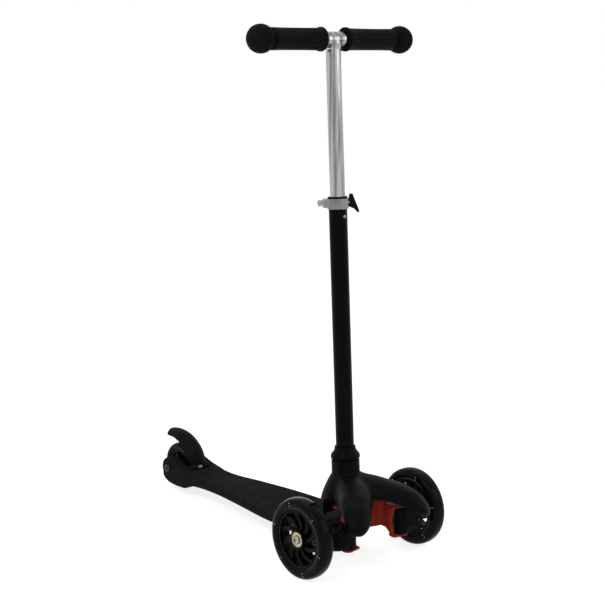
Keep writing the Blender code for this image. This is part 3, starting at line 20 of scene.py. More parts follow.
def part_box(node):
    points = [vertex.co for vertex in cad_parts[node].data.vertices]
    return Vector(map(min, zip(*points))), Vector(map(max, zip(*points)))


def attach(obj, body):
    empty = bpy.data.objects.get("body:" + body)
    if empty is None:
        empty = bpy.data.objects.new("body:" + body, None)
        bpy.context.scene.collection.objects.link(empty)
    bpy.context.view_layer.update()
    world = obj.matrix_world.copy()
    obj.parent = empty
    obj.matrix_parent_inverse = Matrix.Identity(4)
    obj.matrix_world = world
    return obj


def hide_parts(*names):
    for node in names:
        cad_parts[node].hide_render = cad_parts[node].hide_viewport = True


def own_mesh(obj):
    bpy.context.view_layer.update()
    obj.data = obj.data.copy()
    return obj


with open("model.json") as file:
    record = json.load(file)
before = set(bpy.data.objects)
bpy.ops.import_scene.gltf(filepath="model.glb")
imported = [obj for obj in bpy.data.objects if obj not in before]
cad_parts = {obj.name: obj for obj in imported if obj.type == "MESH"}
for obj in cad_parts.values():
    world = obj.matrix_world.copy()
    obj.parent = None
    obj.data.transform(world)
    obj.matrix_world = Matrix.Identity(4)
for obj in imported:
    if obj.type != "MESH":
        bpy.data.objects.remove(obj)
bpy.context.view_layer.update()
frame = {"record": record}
BODY_OF = {
    node: body for body, nodes in frame["record"]["behaviour"]["bodies"].items() for node in nodes
}
LOG = logging.getLogger("scooter")

MM = 0.001
WELD = 0.001
Colour = tuple[float, float, float]
Point = tuple[float, float, float]
Flat = tuple[float, float]


class Side(Enum):
    """The rider's left and right, valued by the sign of their x."""

    LEFT = 1
    RIGHT = -1

    @property
    def word(self) -> str:
        """The side's name as piece names use it."""
        return self.name.lower()


class Join(Enum):
    """What a tool does to a piece."""

    CUT = "DIFFERENCE"
    ADD = "UNION"
    KEEP = "INTERSECT"


# Frames


AXLE_Y = sum(corner.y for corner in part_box("front_tyre_left")) / 2
STEM_FOOT = (31.4, 120.0)
STEM_RAKE = math.radians(3)


def at(x: float, y: float, z: float) -> Matrix:
    """The frame of a station in millimetres, with y counted from the front axle."""
    return Matrix.Translation((x * MM, AXLE_Y + y * MM, z * MM))


def move(by: Point) -> Matrix:
    """A move on the bench, where a unit is a millimetre."""
    return Matrix.Translation(by)


def shift(x: float = 0, y: float = 0, z: float = 0) -> Matrix:
    """A move in millimetres of a frame that is in metres."""
    return Matrix.Translation((x * MM, y * MM, z * MM))


def turn(degrees: float, axis: str) -> Matrix:
    """A turn about an axis of the frame before it."""
    return Matrix.Rotation(math.radians(degrees), 4, axis)


def outward(side: Side) -> Matrix:
    """Turns +Z to point away from the middle on the given side."""
    return turn(90 * side.value, "Y")


def stem(s: float = 0) -> Matrix:
    """The frame of the raked stem, s millimetres along it from its foot."""
    foot = at(0, *STEM_FOOT) @ Matrix.Rotation(-STEM_RAKE, 4, "X")
    return foot @ shift(z=s)


# Bench


def pick(piece: bpy.types.Object) -> None:
    """Selects one piece alone and makes it the active one."""
    bpy.ops.object.select_all(action="DESELECT")
    piece.select_set(True)
    bpy.context.view_layer.objects.active = piece


@contextmanager
def shaping(piece: bpy.types.Object) -> Iterator[None]:
    """Opens a piece in edit mode with all of it selected, and closes it after."""
    pick(piece)
    bpy.ops.object.mode_set(mode="EDIT")
    bpy.ops.mesh.select_mode(type="VERT")
    bpy.ops.mesh.select_all(action="SELECT")
    yield
    bpy.ops.object.mode_set(mode="OBJECT")


def face_out(weld: float = WELD) -> None:
    """Merges doubles and turns all faces outward, in edit mode."""
    bpy.ops.mesh.select_all(action="SELECT")
    bpy.ops.mesh.remove_doubles(threshold=weld)
    bpy.ops.mesh.normals_make_consistent(inside=False)


def trace(name: str, points: Sequence[Point]) -> bpy.types.Object:
    """Draws a chain of edges by extruding one vertex from point to point.

    Args:
        name: the new piece's name.
        points: the places that the chain passes.

    Returns:
        The piece, holding only the chain.
    """
    bpy.ops.object.select_all(action="DESELECT")
    bpy.ops.mesh.primitive_plane_add(size=1)
    piece = bpy.context.object
    piece.name = piece.data.name = name
    with shaping(piece):
        bpy.ops.mesh.merge(type="CENTER")
        bpy.ops.transform.translate(value=points[0])
        for before, after in zip(points, points[1:]):
            step = Vector(after) - Vector(before)
            bpy.ops.mesh.extrude_region_move(TRANSFORM_OT_translate={"value": step})
    return piece


def turned(
    name: str, profile: Sequence[Flat], segments: int = 64, ring: bool = False
) -> bpy.types.Object:
    """Spins a profile about Z.

    Args:
        name: the new piece's name.
        profile: (radius, height) points, touching the axis at both ends unless ring is set.
        segments: how many steps the turn has.
        ring: whether the profile closes on itself, as for a tube.

    Returns:
        The turned piece.
    """
    points = [(radius, 0.0, height) for radius, height in profile]
    if ring:
        points.append(points[0])
    piece = trace(name, points)
    with shaping(piece):
        bpy.ops.mesh.spin(
            steps=segments, angle=math.tau, center=(0, 0, 0), axis=(0, 0, 1), use_auto_merge=True
        )
        face_out()
    return piece


def dowel(
    name: str, radius: float, half: float, chamfer: float, segments: int = 32
) -> bpy.types.Object:
    """A round pin about the middle of its length, with chamfered ends.

    Args:
        name: the new piece's name.
        radius: the pin's radius.
        half: half its length.
        chamfer: how much both end edges lose.
        segments: how many sides the pin has.

    Returns:
        The pin.
    """
    return turned(name, [
        (0, -half), (radius - chamfer, -half), (radius, chamfer - half), (radius, half - chamfer),
        (radius - chamfer, half), (0, half),
    ], segments)


def plate(name: str, outline: Sequence[Flat], low: float, high: float) -> bpy.types.Object:
    """Raises a flat outline in (x, y) from height low to height high."""
    piece = trace(name, [(x, y, low) for x, y in outline])
    with shaping(piece):
        bpy.ops.mesh.edge_face_add()
        bpy.ops.mesh.extrude_region_move(TRANSFORM_OT_translate={"value": (0, 0, high - low)})
        face_out()
    return piece


def upright(name: str, outline: Sequence[Flat], low: float, high: float) -> bpy.types.Object:
    """A plate whose outline is given in (y, z), between two places in x."""
    piece = plate(name, outline, low, high)
    piece.data.transform(Matrix(((0, 0, 1, 0), (1, 0, 0, 0), (0, 1, 0, 0), (0, 0, 0, 1))))
    return piece


def block(name: str, low: Point, high: Point) -> bpy.types.Object:
    """A box between two corners."""
    bpy.ops.object.select_all(action="DESELECT")
    middle = [(a + b) / 2 for a, b in zip(low, high)]
    size = [b - a for a, b in zip(low, high)]
    bpy.ops.mesh.primitive_cube_add(size=1)
    piece = bpy.context.object
    piece.name = piece.data.name = name
    with shaping(piece):
        bpy.ops.transform.resize(value=size, center_override=(0, 0, 0))
        bpy.ops.transform.translate(value=middle)
    return piece


def rod(name: str, radius: float, low: float, high: float, segments: int = 64) -> bpy.types.Object:
    """A round bar along Z."""
    bpy.ops.object.select_all(action="DESELECT")
    bpy.ops.mesh.primitive_cylinder_add(vertices=segments, radius=radius, depth=high - low)
    piece = bpy.context.object
    piece.name = piece.data.name = name
    with shaping(piece):
        bpy.ops.transform.translate(value=(0, 0, (low + high) / 2))
    return piece


def skin(name: str, rings: Sequence[Sequence[Point]]) -> bpy.types.Object:
    """A closed free-form body through sections of as many points each."""
    count = len(rings[0])
    faces = [
        (row * count + i, row * count + (i + 1) % count, (row + 1) * count + (i + 1) % count,
         (row + 1) * count + i)
        for row in range(len(rings) - 1)
        for i in range(count)
    ]
    last = (len(rings) - 1) * count
    faces += [tuple(range(count)), tuple(range(last, last + count))]
    mesh = bpy.data.meshes.new(name)
    mesh.from_pydata([point for ring in rings for point in ring], [], faces)
    piece = bpy.data.objects.new(name, mesh)
    bpy.context.scene.collection.objects.link(piece)
    with shaping(piece):
        face_out()
    return piece


def wound(name: str, points: Sequence[Point], wire: float) -> bpy.types.Object:
    """A wire of the given radius through points, as a mesh."""
    bpy.ops.object.select_all(action="DESELECT")
    bpy.ops.curve.primitive_nurbs_path_add()
    path = bpy.context.object
    path.name = path.data.name = name
    path.data.splines.clear()
    line = path.data.splines.new("NURBS")
    line.points.add(len(points) - 1)
    for knot, place in zip(line.points, points):
        knot.co = (*place, 1)
    line.use_endpoint_u = True
    line.order_u = 4
    path.data.resolution_u = 3
    path.data.bevel_depth = wire
    path.data.bevel_resolution = 3
    path.data.use_fill_caps = True
    bpy.ops.object.convert(target="MESH")
    piece = bpy.context.object
    with shaping(piece):
        face_out()
    return piece


def work(piece: bpy.types.Object, tool: bpy.types.Object, join: Join) -> None:
    """Cuts a tool from a piece, adds it or keeps what lies in it, and removes the tool."""
    step = piece.modifiers.new(join.name, "BOOLEAN")
    step.operation = join.value
    step.solver = "EXACT"
    step.object = tool
    pick(piece)
    bpy.ops.object.modifier_apply(modifier=step.name)
    bpy.data.objects.remove(tool)


def moved(piece: bpy.types.Object, by: Matrix) -> bpy.types.Object:
    """Moves a piece on the bench, by a matrix in millimetres, and hands it back."""
    piece.data.transform(by)
    return piece


def drill(
    piece: bpy.types.Object, radius: float, low: float, high: float, by: Matrix, segments: int = 32
) -> None:
    """Bores a round hole along Z of a bench frame.

    Args:
        piece: the piece to bore.
        radius: the hole's radius.
        low: where the hole starts along the frame's Z.
        high: where it ends.
        by: the bench frame.
        segments: how many sides the hole has.
    """
    work(piece, moved(rod("drill", radius, low, high, segments), by), Join.CUT)


def gather(pieces: Sequence[bpy.types.Object]) -> bpy.types.Object:
    """Joins pieces into the first of them."""
    pick(pieces[0])
    for piece in pieces[1:]:
        piece.select_set(True)
    bpy.ops.object.join()
    return pieces[0]


def around(piece: bpy.types.Object, count: int) -> bpy.types.Object:
    """Repeats a piece in a circle about Z, each copy with its own mesh, as one piece."""
    copies = [piece]
    for i in range(1, count):
        copy = piece.copy()
        copy.data = piece.data.copy()
        copy.data.transform(Matrix.Rotation(math.tau * i / count, 4, "Z"))
        bpy.context.scene.collection.objects.link(copy)
        copies.append(copy)
    return gather(copies)


def melt(piece: bpy.types.Object, voxel: float, rounds: int = 4) -> None:
    """Fuses overlapping bodies of a piece into one moulded body with soft edges."""
    fuse = piece.modifiers.new("fuse", "REMESH")
    fuse.mode = "VOXEL"
    fuse.voxel_size = voxel
    ease = piece.modifiers.new("ease", "SMOOTH")
    ease.factor = 0.5
    ease.iterations = rounds
    pick(piece)
    for step in ("fuse", "ease"):
        bpy.ops.object.modifier_apply(modifier=step)


def round_edges(
    piece: bpy.types.Object, width: float, segments: int = 2, angle: float = 35
) -> None:
    """Rounds every edge that is sharper than an angle in degrees."""
    step = piece.modifiers.new("round", "BEVEL")
    step.width = width
    step.segments = segments
    step.limit_method = "ANGLE"
    step.angle_limit = math.radians(angle)
    step.use_clamp_overlap = True
    pick(piece)
    bpy.ops.object.modifier_apply(modifier=step.name)


def arc(middle: Flat, radius: float, start: float, end: float, steps: int = 12) -> list[Flat]:
    """Points of an arc, with its angles in degrees."""
    angles = [math.radians(start + (end - start) * i / steps) for i in range(steps + 1)]
    return [(middle[0] + radius * math.cos(a), middle[1] + radius * math.sin(a)) for a in angles]


def flowing(rows: Sequence[Sequence[float]], steps: int) -> list[list[float]]:
    """Rows of numbers with smooth ones put in between, passing through every row given.

    Args:
        rows: the given rows, each of as many numbers.
        steps: how many rows stand for each given one.

    Returns:
        The denser rows.
    """
    made = []
    for i in range(len(rows) - 1):
        before, here = rows[max(i - 1, 0)], rows[i]
        there, after = rows[i + 1], rows[min(i + 2, len(rows) - 1)]
        for k in range(steps):
            t = k / steps
            made.append(
                [
                    0.5 * (2 * b + (c - a) * t + (2 * a - 5 * b + 4 * c - d) * t * t
                           + (3 * b - a - 3 * c + d) * t**3)
                    for a, b, c, d in zip(before, here, there, after)
                ]
            )
    made.append(list(rows[-1]))
    return made


# Finishes


class Grain(Enum):
    """The small relief of a surface, and for chrome a painted reflection in its colour."""

    MOULDED = "fine spark-eroded pitting"
    BRUSHED = "fine lines round the part"
    # Painted reflection: long light and dark bands in the colour down the part, standing in for the
    # studio mirrored in chrome.
    DRAWN = "long bands down the part"
    POLISHED = "faint long waves"
    PEBBLED = "small rubber pebbles"
    TREAD = "rows of small studs"


@dataclass(frozen=True)
class Finish:
    """A finish: its colours, its gloss and its grain, in a procedural material."""

    name: str
    slot: str
    colour: Colour
    # The second colour: random wear patches, and for chrome the light side of painted reflection
    # bands.
    worn: Colour
    roughness: float
    metallic: float = 0.0
    specular: float = 0.5
    transmission: float = 0.0
    coat: float = 0.0
    glow: float = 0.0
    grain: Grain = Grain.MOULDED
    relief: float = 0.05
    patches: float = 30.0

    def material(self) -> bpy.types.Material:
        """The finish's material, made on first use."""
        title = f"look_{self.name}"
        known = bpy.data.materials.get(title)
        if known:
            return known
        made = bpy.data.materials.new(title)
        made.use_nodes = True
        made.diffuse_color = (*self.colour, 1)
        tree = made.node_tree
        shader = tree.nodes["Principled BSDF"]
        shader.inputs["Metallic"].default_value = self.metallic
        shader.inputs["Specular IOR Level"].default_value = self.specular
        shader.inputs["Transmission Weight"].default_value = self.transmission
        shader.inputs["Coat Weight"].default_value = self.coat
        shader.inputs["Coat Roughness"].default_value = 0.08
        # Painted glow: emission makes the surface brighter than the lamps light it.
        if self.glow:
            shader.inputs["Emission Color"].default_value = (*self.colour, 1)
            shader.inputs["Emission Strength"].default_value = self.glow
        where = tree.nodes.new("ShaderNodeTexCoord").outputs["Object"]
        self._tint(tree, shader, where)
        self._gloss(tree, shader, where)
        self._relief(tree, shader, where)
        return made

    def _noise(
        self, tree: bpy.types.NodeTree, where: bpy.types.NodeSocket, scale: float, detail: float
    ) -> bpy.types.NodeSocket:
        """A noise of the given scale per metre.

        Args:
            tree: the material's nodes.
            where: the coordinates to read.
            scale: how many features a metre holds.
            detail: the octaves of the noise.

        Returns:
            The noise's height.
        """
        noise = tree.nodes.new("ShaderNodeTexNoise")
        noise.inputs["Scale"].default_value = scale
        noise.inputs["Detail"].default_value = detail
        tree.links.new(where, noise.inputs["Vector"])
        return noise.outputs["Fac"]

    def _tint(
        self, tree: bpy.types.NodeTree, shader: bpy.types.Node, where: bpy.types.NodeSocket
    ) -> None:
        """Colours the surface between its own colour and a second one: in random patches of wear,
        and for chrome in long bands that are a painted reflection.
        """
        low, high = 0.35, 0.75
        # Painted reflection: the chrome's colour is stretched into light and dark bands down the
        # part, in place of mirrored studio light.
        if self.grain is Grain.DRAWN:
            low, high = 0.4, 0.6
            stretch = tree.nodes.new("ShaderNodeMapping")
            stretch.inputs["Scale"].default_value = (1, 1, 0.01)
            tree.links.new(where, stretch.inputs["Vector"])
            where = stretch.outputs["Vector"]
        ramp = tree.nodes.new("ShaderNodeValToRGB")
        ramp.color_ramp.elements[0].position = low
        ramp.color_ramp.elements[0].color = (*self.colour, 1)
        ramp.color_ramp.elements[1].position = high
        ramp.color_ramp.elements[1].color = (*self.worn, 1)
        tree.links.new(self._noise(tree, where, self.patches, 6), ramp.inputs["Fac"])
        tree.links.new(ramp.outputs["Color"], shader.inputs["Base Color"])

    def _gloss(
        self, tree: bpy.types.NodeTree, shader: bpy.types.Node, where: bpy.types.NodeSocket
    ) -> None:
        """Varies the roughness a little, as handling does."""
        span = tree.nodes.new("ShaderNodeMapRange")
        span.inputs["To Min"].default_value = self.roughness * 0.85
        span.inputs["To Max"].default_value = min(1.0, self.roughness * 1.2)
        tree.links.new(self._noise(tree, where, self.patches * 3, 4), span.inputs["Value"])
        tree.links.new(span.outputs["Result"], shader.inputs["Roughness"])

    def _relief(
        self, tree: bpy.types.NodeTree, shader: bpy.types.Node, where: bpy.types.NodeSocket
    ) -> None:
        """Adds the grain as bump."""
        if self.grain is Grain.PEBBLED:
            cells = tree.nodes.new("ShaderNodeTexVoronoi")
            cells.inputs["Scale"].default_value = 900
            tree.links.new(where, cells.inputs["Vector"])
            height = cells.outputs["Distance"]
        elif self.grain is Grain.TREAD:
            cells = tree.nodes.new("ShaderNodeTexVoronoi")
            cells.inputs["Scale"].default_value = 310
            cells.inputs["Randomness"].default_value = 0
            tree.links.new(where, cells.inputs["Vector"])
            height = cells.outputs["Distance"]
        elif self.grain is Grain.BRUSHED:
            stretch = tree.nodes.new("ShaderNodeMapping")
            stretch.inputs["Scale"].default_value = (0.15, 0.15, 6)
            tree.links.new(where, stretch.inputs["Vector"])
            height = self._noise(tree, stretch.outputs["Vector"], 500, 3)
        else:
            scale = 1300 if self.grain is Grain.MOULDED else 60
            height = self._noise(tree, where, scale, 2)
        bump = tree.nodes.new("ShaderNodeBump")
        bump.inputs["Strength"].default_value = 0.6
        bump.inputs["Distance"].default_value = self.relief * MM
        tree.links.new(height, bump.inputs["Height"])
        tree.links.new(bump.outputs["Normal"], shader.inputs["Normal"])


SMOKED_TYRE = Finish(
    "smoked_tyre", "front_tyre", (0.004, 0.004, 0.0045), (0.006, 0.006, 0.0065), 0.07,
    specular=0.045, grain=Grain.POLISHED, relief=0.02,
)
BLACK_TYRE = Finish(
    "black_tyre", "rear_tyre", (0.003, 0.003, 0.0034), (0.005, 0.005, 0.0054), 0.25, specular=0.05,
    grain=Grain.POLISHED, relief=0.02,
)
WHEEL_CORE = Finish(
    "wheel_core_plastic", "wheel_core", (0.002, 0.002, 0.0025), (0.004, 0.004, 0.0045), 0.38,
    specular=0.05,
)
BEARING = Finish(
    "bearing_steel", "bearing_steel", (0.38, 0.33, 0.2), (0.5, 0.43, 0.28), 0.22, metallic=1,
    grain=Grain.BRUSHED, relief=0.01,
)
ZINC = Finish(
    "zinc_steel", "zinc_steel", (0.26, 0.26, 0.265), (0.36, 0.36, 0.36), 0.3, metallic=1,
    grain=Grain.BRUSHED, relief=0.015,
)
DARK_STEEL = Finish(
    "dark_steel", "zinc_steel", (0.03, 0.03, 0.032), (0.05, 0.05, 0.05), 0.35, metallic=1,
    grain=Grain.BRUSHED, relief=0.015,
)
SATIN_ALLOY = Finish(
    "satin_alloy", "satin_alloy", (0.16, 0.16, 0.163), (0.3, 0.3, 0.3), 0.28, metallic=1,
    grain=Grain.BRUSHED, relief=0.01,
)
# Painted reflection: its colour runs from dark to light in bands down the tube, standing in for
# mirrored light.
CHROME = Finish(
    "chromed_tube", "chromed_tube", (0.07, 0.072, 0.077), (0.42, 0.424, 0.435), 0.12, metallic=1,
    grain=Grain.DRAWN, relief=0.004, patches=130,
)
STEM_PAINT = Finish(
    "stem_paint", "stem_paint", (0.0018, 0.0018, 0.0022), (0.003, 0.003, 0.0034), 0.3,
    specular=0.04, grain=Grain.POLISHED, relief=0.02,
)
COLLAR = Finish(
    "collar_plastic", "collar_plastic", (0.002, 0.002, 0.0025), (0.0035, 0.0035, 0.004), 0.4,
    specular=0.04,
)
SHELL = Finish(
    "shell_plastic", "shell_plastic", (0.003, 0.003, 0.0038), (0.0045, 0.0045, 0.0053), 0.42,
    specular=0.04,
)
KNUCKLE = Finish(
    "knuckle_plastic", "knuckle_plastic", (0.0025, 0.0025, 0.003), (0.0045, 0.0045, 0.005), 0.5,
    specular=0.03,
)
RED = Finish(
    "red_plastic", "red_plastic", (0.44, 0.044, 0.022), (0.5, 0.053, 0.028), 0.45, specular=0.08,
)
DECK = Finish(
    "deck_plastic", "deck_plastic", (0.012, 0.012, 0.0125), (0.017, 0.017, 0.0175), 0.65,
    specular=0.02,
)
DECK_TREAD = Finish(
    "deck_tread", "deck_plastic", (0.015, 0.015, 0.0155), (0.02, 0.02, 0.0205), 0.7,
    specular=0.01, grain=Grain.TREAD, relief=0.35,
)
FENDER = Finish(
    "fender_plastic", "fender_plastic", (0.006, 0.006, 0.0066), (0.009, 0.009, 0.0096), 0.5,
    specular=0.04,
)
GRIP = Finish(
    "grip_rubber", "grip_rubber", (0.005, 0.005, 0.0052), (0.008, 0.008, 0.0082), 0.6,
    specular=0.04, grain=Grain.PEBBLED, relief=0.03,
)
LEVER = Finish(
    "lever_plastic", "lever_plastic", (0.003, 0.003, 0.0035), (0.005, 0.005, 0.0055), 0.3,
    specular=0.08,
)
# Painted glint: the pale windows glow faintly, so that they read as small bright dots.
LAMP_WINDOW_WITH_PAINTED_GLOW = Finish(
    "lamp_window", "front_tyre", (0.2, 0.2, 0.195), (0.3, 0.3, 0.29), 0.2, glow=0.04,
    grain=Grain.POLISHED, relief=0.01,
)


def present(
    piece: bpy.types.Object, place: Matrix, finish: Finish, *nodes: str, body: str = "",
    angle: float = 32,
) -> bpy.types.Object:
    """Puts a finished piece in its place on the scooter.

    Args:
        piece: the piece, in millimetres about its own axis.
        place: the frame to settle it in, in metres.
        finish: what its surface is.
        nodes: the CAD nodes that it stands for.
        body: the body it moves with, where it stands for no node.
        angle: edges sharper than this many degrees stay crisp.

    Returns:
        The piece.
    """
    piece.matrix_world = place @ Matrix.Diagonal((MM, MM, MM, 1))
    pick(piece)
    bpy.ops.object.transform_apply(location=True, rotation=True, scale=True)
    piece.data.materials.clear()
    piece.data.materials.append(finish.material())
    bpy.ops.object.shade_smooth_by_angle(angle=math.radians(angle))
    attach(piece, body or BODY_OF[nodes[0]])
    if nodes:
        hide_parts(*nodes)
    LOG.info("built %s", piece.name)
    return piece


# Fasteners


@dataclass
class ButtonBolt:
    """A button-head bolt with a hex socket, its head's underside at Z 0."""

    name: str
    radius: float
    head_radius: float
    head_height: float
    length: float
    finish: Finish = ZINC

    def build(self, place: Matrix, *nodes: str) -> bpy.types.Object:
        """Builds the bolt where a CAD node has it.

        Args:
            place: the frame of the head's underside, with the head towards +Z.
            nodes: the CAD nodes that the bolt stands for.

        Returns:
            The bolt.
        """
        head, tall = self.head_radius, self.head_height
        profile = [(0, -self.length), (self.radius - 0.6, -self.length)]
        profile += [(self.radius, 0.6 - self.length), (self.radius, 0), (head, 0)]
        profile += [(head, 0.25 * tall)]
        profile += [(head * math.cos(a), tall * (0.25 + 0.75 * math.sin(a)))
                    for a in (0.25, 0.55, 0.85, 1.15)]
        profile += [(0, tall)]
        bolt = turned(self.name, profile, 48)
        socket = rod("socket", 0.45 * head, 0.35 * tall, 2 * tall, 6)
        work(bolt, socket, Join.CUT)
        return present(bolt, place, self.finish, *nodes)


@dataclass
class HexNut:
    """A chamfered hex nut that stands on Z 0, bored through for its bolt."""

    name: str
    bore: float
    corner: float
    height: float
    finish: Finish = ZINC

    def build(self, place: Matrix, *nodes: str) -> bpy.types.Object:
        """Builds the nut where a CAD node has it.

        Args:
            place: the frame of the nut's seat, with the nut towards +Z.
            nodes: the CAD nodes that the nut stands for.

        Returns:
            The nut.
        """
        nut = rod(self.name, self.corner, 0, self.height, 6)
        chamfer = 0.13 * self.corner
        turner = turned("turner", [
            (0, 0), (self.corner - chamfer, 0), (self.corner + 0.01, 0.6 * chamfer),
            (self.corner + 0.01, self.height - 0.6 * chamfer),
            (self.corner - chamfer, self.height), (0, self.height),
        ], 48)
        work(nut, turner, Join.KEEP)
        work(nut, rod("bore", self.bore, -1, self.height + 1, 40), Join.CUT)
        return present(nut, place, self.finish, *nodes)


# Wheels


@dataclass
class Wheel:
    """A cast wheel: its tyre, its spoked core and its two bearings."""

    prefix: str
    suffix: str
    place: Matrix
    radius: float
    core_radius: float
    spokes: int
    sweep: float
    tyre_finish: Finish
    tyre_half: float = 12.0
    hub_half: float = 10.6
    hub_radius: float = 14.5
    bearing_radius: float = 11.0
    bearing_width: float = 7.0
    bore: float = 4.3
    rim: float = 3.5
    spoke_half: float = 7.0
    gap: float = 0.3

    def node(self, piece: str) -> str:
        """The CAD node's name of one of the wheel's pieces."""
        return f"{self.prefix}_{piece}{self.suffix}"

    def build(self) -> None:
        """Builds the tyre, the core and the bearings."""
        self.tyre()
        self.core()
        for word, sign in (("outer", 1), ("inner", -1)):
            self.bearing(word, sign)

    def tyre(self) -> None:
        """The cast tyre, with flat flanks, round shoulders and a seat on the core."""
        low = self.core_radius + self.gap
        deep = self.radius - low
        half = self.tyre_half
        flank = [
            (low, 0.78 * half), (low + 0.06 * deep, 0.85 * half), (low + 0.2 * deep, 0.95 * half),
            (low + 0.38 * deep, half), (low + 0.6 * deep, 0.99 * half),
            (low + 0.76 * deep, 0.92 * half), (low + 0.88 * deep, 0.76 * half),
            (low + 0.95 * deep, 0.55 * half), (low + 0.99 * deep, 0.28 * half),
            (low + deep, 0.0),
        ]
        profile = [(r, -h) for r, h in flank] + [(r, h) for r, h in reversed(flank[:-1])]
        tyre = turned(f"tyre{self.suffix or '_rear'}", profile, 112, ring=True)
        present(tyre, self.place, self.tyre_finish, self.node("tyre"), angle=60)

    def core(self) -> None:
        """The moulded core: a stepped rim, a hub with its bearing seats and swept spokes."""
        rim = self.core_radius - self.rim
        lip = 0.78 * self.tyre_half
        name = f"wheel_core{self.suffix or '_rear'}"
        band = turned(name, [
            (rim, -lip + 0.6), (rim + 0.6, -lip), (self.core_radius - 0.6, -lip),
            (self.core_radius, -lip + 0.6), (self.core_radius, lip - 0.6),
            (self.core_radius - 0.6, lip), (rim + 0.6, lip), (rim, lip - 0.6),
            (rim, 3.4), (rim - 1.6, 2.4), (rim - 1.6, -2.4), (rim, -3.4),
        ], 96, ring=True)
        seat = self.bearing_radius + self.gap
        shoulder = self.hub_half - self.bearing_width - 2 * self.gap
        hub = turned("hub", [
            (7.3, -shoulder), (seat, -shoulder), (seat, 0.5 - self.hub_half),
            (seat + 0.4, -self.hub_half), (self.hub_radius - 0.6, -self.hub_half),
            (self.hub_radius, 0.6 - self.hub_half), (self.hub_radius + 1.6, -3),
            (self.hub_radius + 2.4, -2.4), (self.hub_radius + 2.4, 2.4), (self.hub_radius + 1.6, 3),
            (self.hub_radius, self.hub_half - 0.6), (self.hub_radius - 0.6, self.hub_half),
            (seat + 0.4, self.hub_half), (seat, self.hub_half - 0.5), (seat, shoulder),
            (7.3, shoulder),
        ], 72, ring=True)
        work(band, around(self.spoke(rim), self.spokes), Join.ADD)
        work(band, hub, Join.ADD)
        present(band, self.place, WHEEL_CORE, self.node("wheel_core"))

    def spoke(self, rim: float) -> bpy.types.Object:
        """One swept spoke, with a channel pressed into both faces.

        Args:
            rim: the rim's inner radius.

        Returns:
            The spoke, from inside the hub's wall to inside the rim's.
        """
        inner, outer = self.hub_radius - 0.8, rim + 0.8
        steps = 8
        sides: list[list[Flat]] = [[], []]
        for k in range(steps + 1):
            share = k / steps
            along = inner + (outer - inner) * share
            pitch = math.tau * along / self.spokes
            width = pitch * (0.5 - 0.16 * share) if self.spokes > 6 else 7 + 2 * share
            middle = math.radians(self.sweep) * share**1.4 + math.pi / self.spokes
            for edge, sign in zip(sides, (-1, 1)):
                angle = middle + sign * width / 2 / along
                edge.append((along * math.cos(angle), along * math.sin(angle)))
        spoke = plate("spoke", sides[0] + sides[1][::-1], -self.spoke_half, self.spoke_half)
        with shaping(spoke):
            bpy.ops.mesh.select_mode(type="FACE")
            bpy.ops.object.mode_set(mode="OBJECT")
            for face in spoke.data.polygons:
                face.select = abs(face.normal.z) > 0.9
            bpy.ops.object.mode_set(mode="EDIT")
            bpy.ops.mesh.inset(thickness=1.1, depth=-0.9)
        return spoke

    def bearing(self, word: str, sign: int) -> None:
        """A shielded ball bearing, its two races standing proud of the shield.

        Args:
            word: outer or inner.
            sign: 1 where the bearing sits at the hub's +Z end.
        """
        half = self.bearing_width / 2
        outer, inner = self.bearing_radius, self.bore
        bearing = turned(f"bearing{self.suffix or '_rear'}_{word}", [
            (inner, -half), (outer - 0.4, -half), (outer, 0.4 - half), (outer, half - 0.4),
            (outer - 0.4, half), (outer - 1.7, half), (outer - 1.9, half - 0.6),
            (inner + 2.3, half - 0.6), (inner + 2.1, half), (inner + 0.3, half),
            (inner, half - 0.3),
        ], 64, ring=True)
        place = self.place @ shift(z=sign * (self.hub_half - half))
        if sign < 0:
            place = place @ turn(180, "X")
        present(bearing, place, BEARING, self.node("bearing") + f"_{word}")


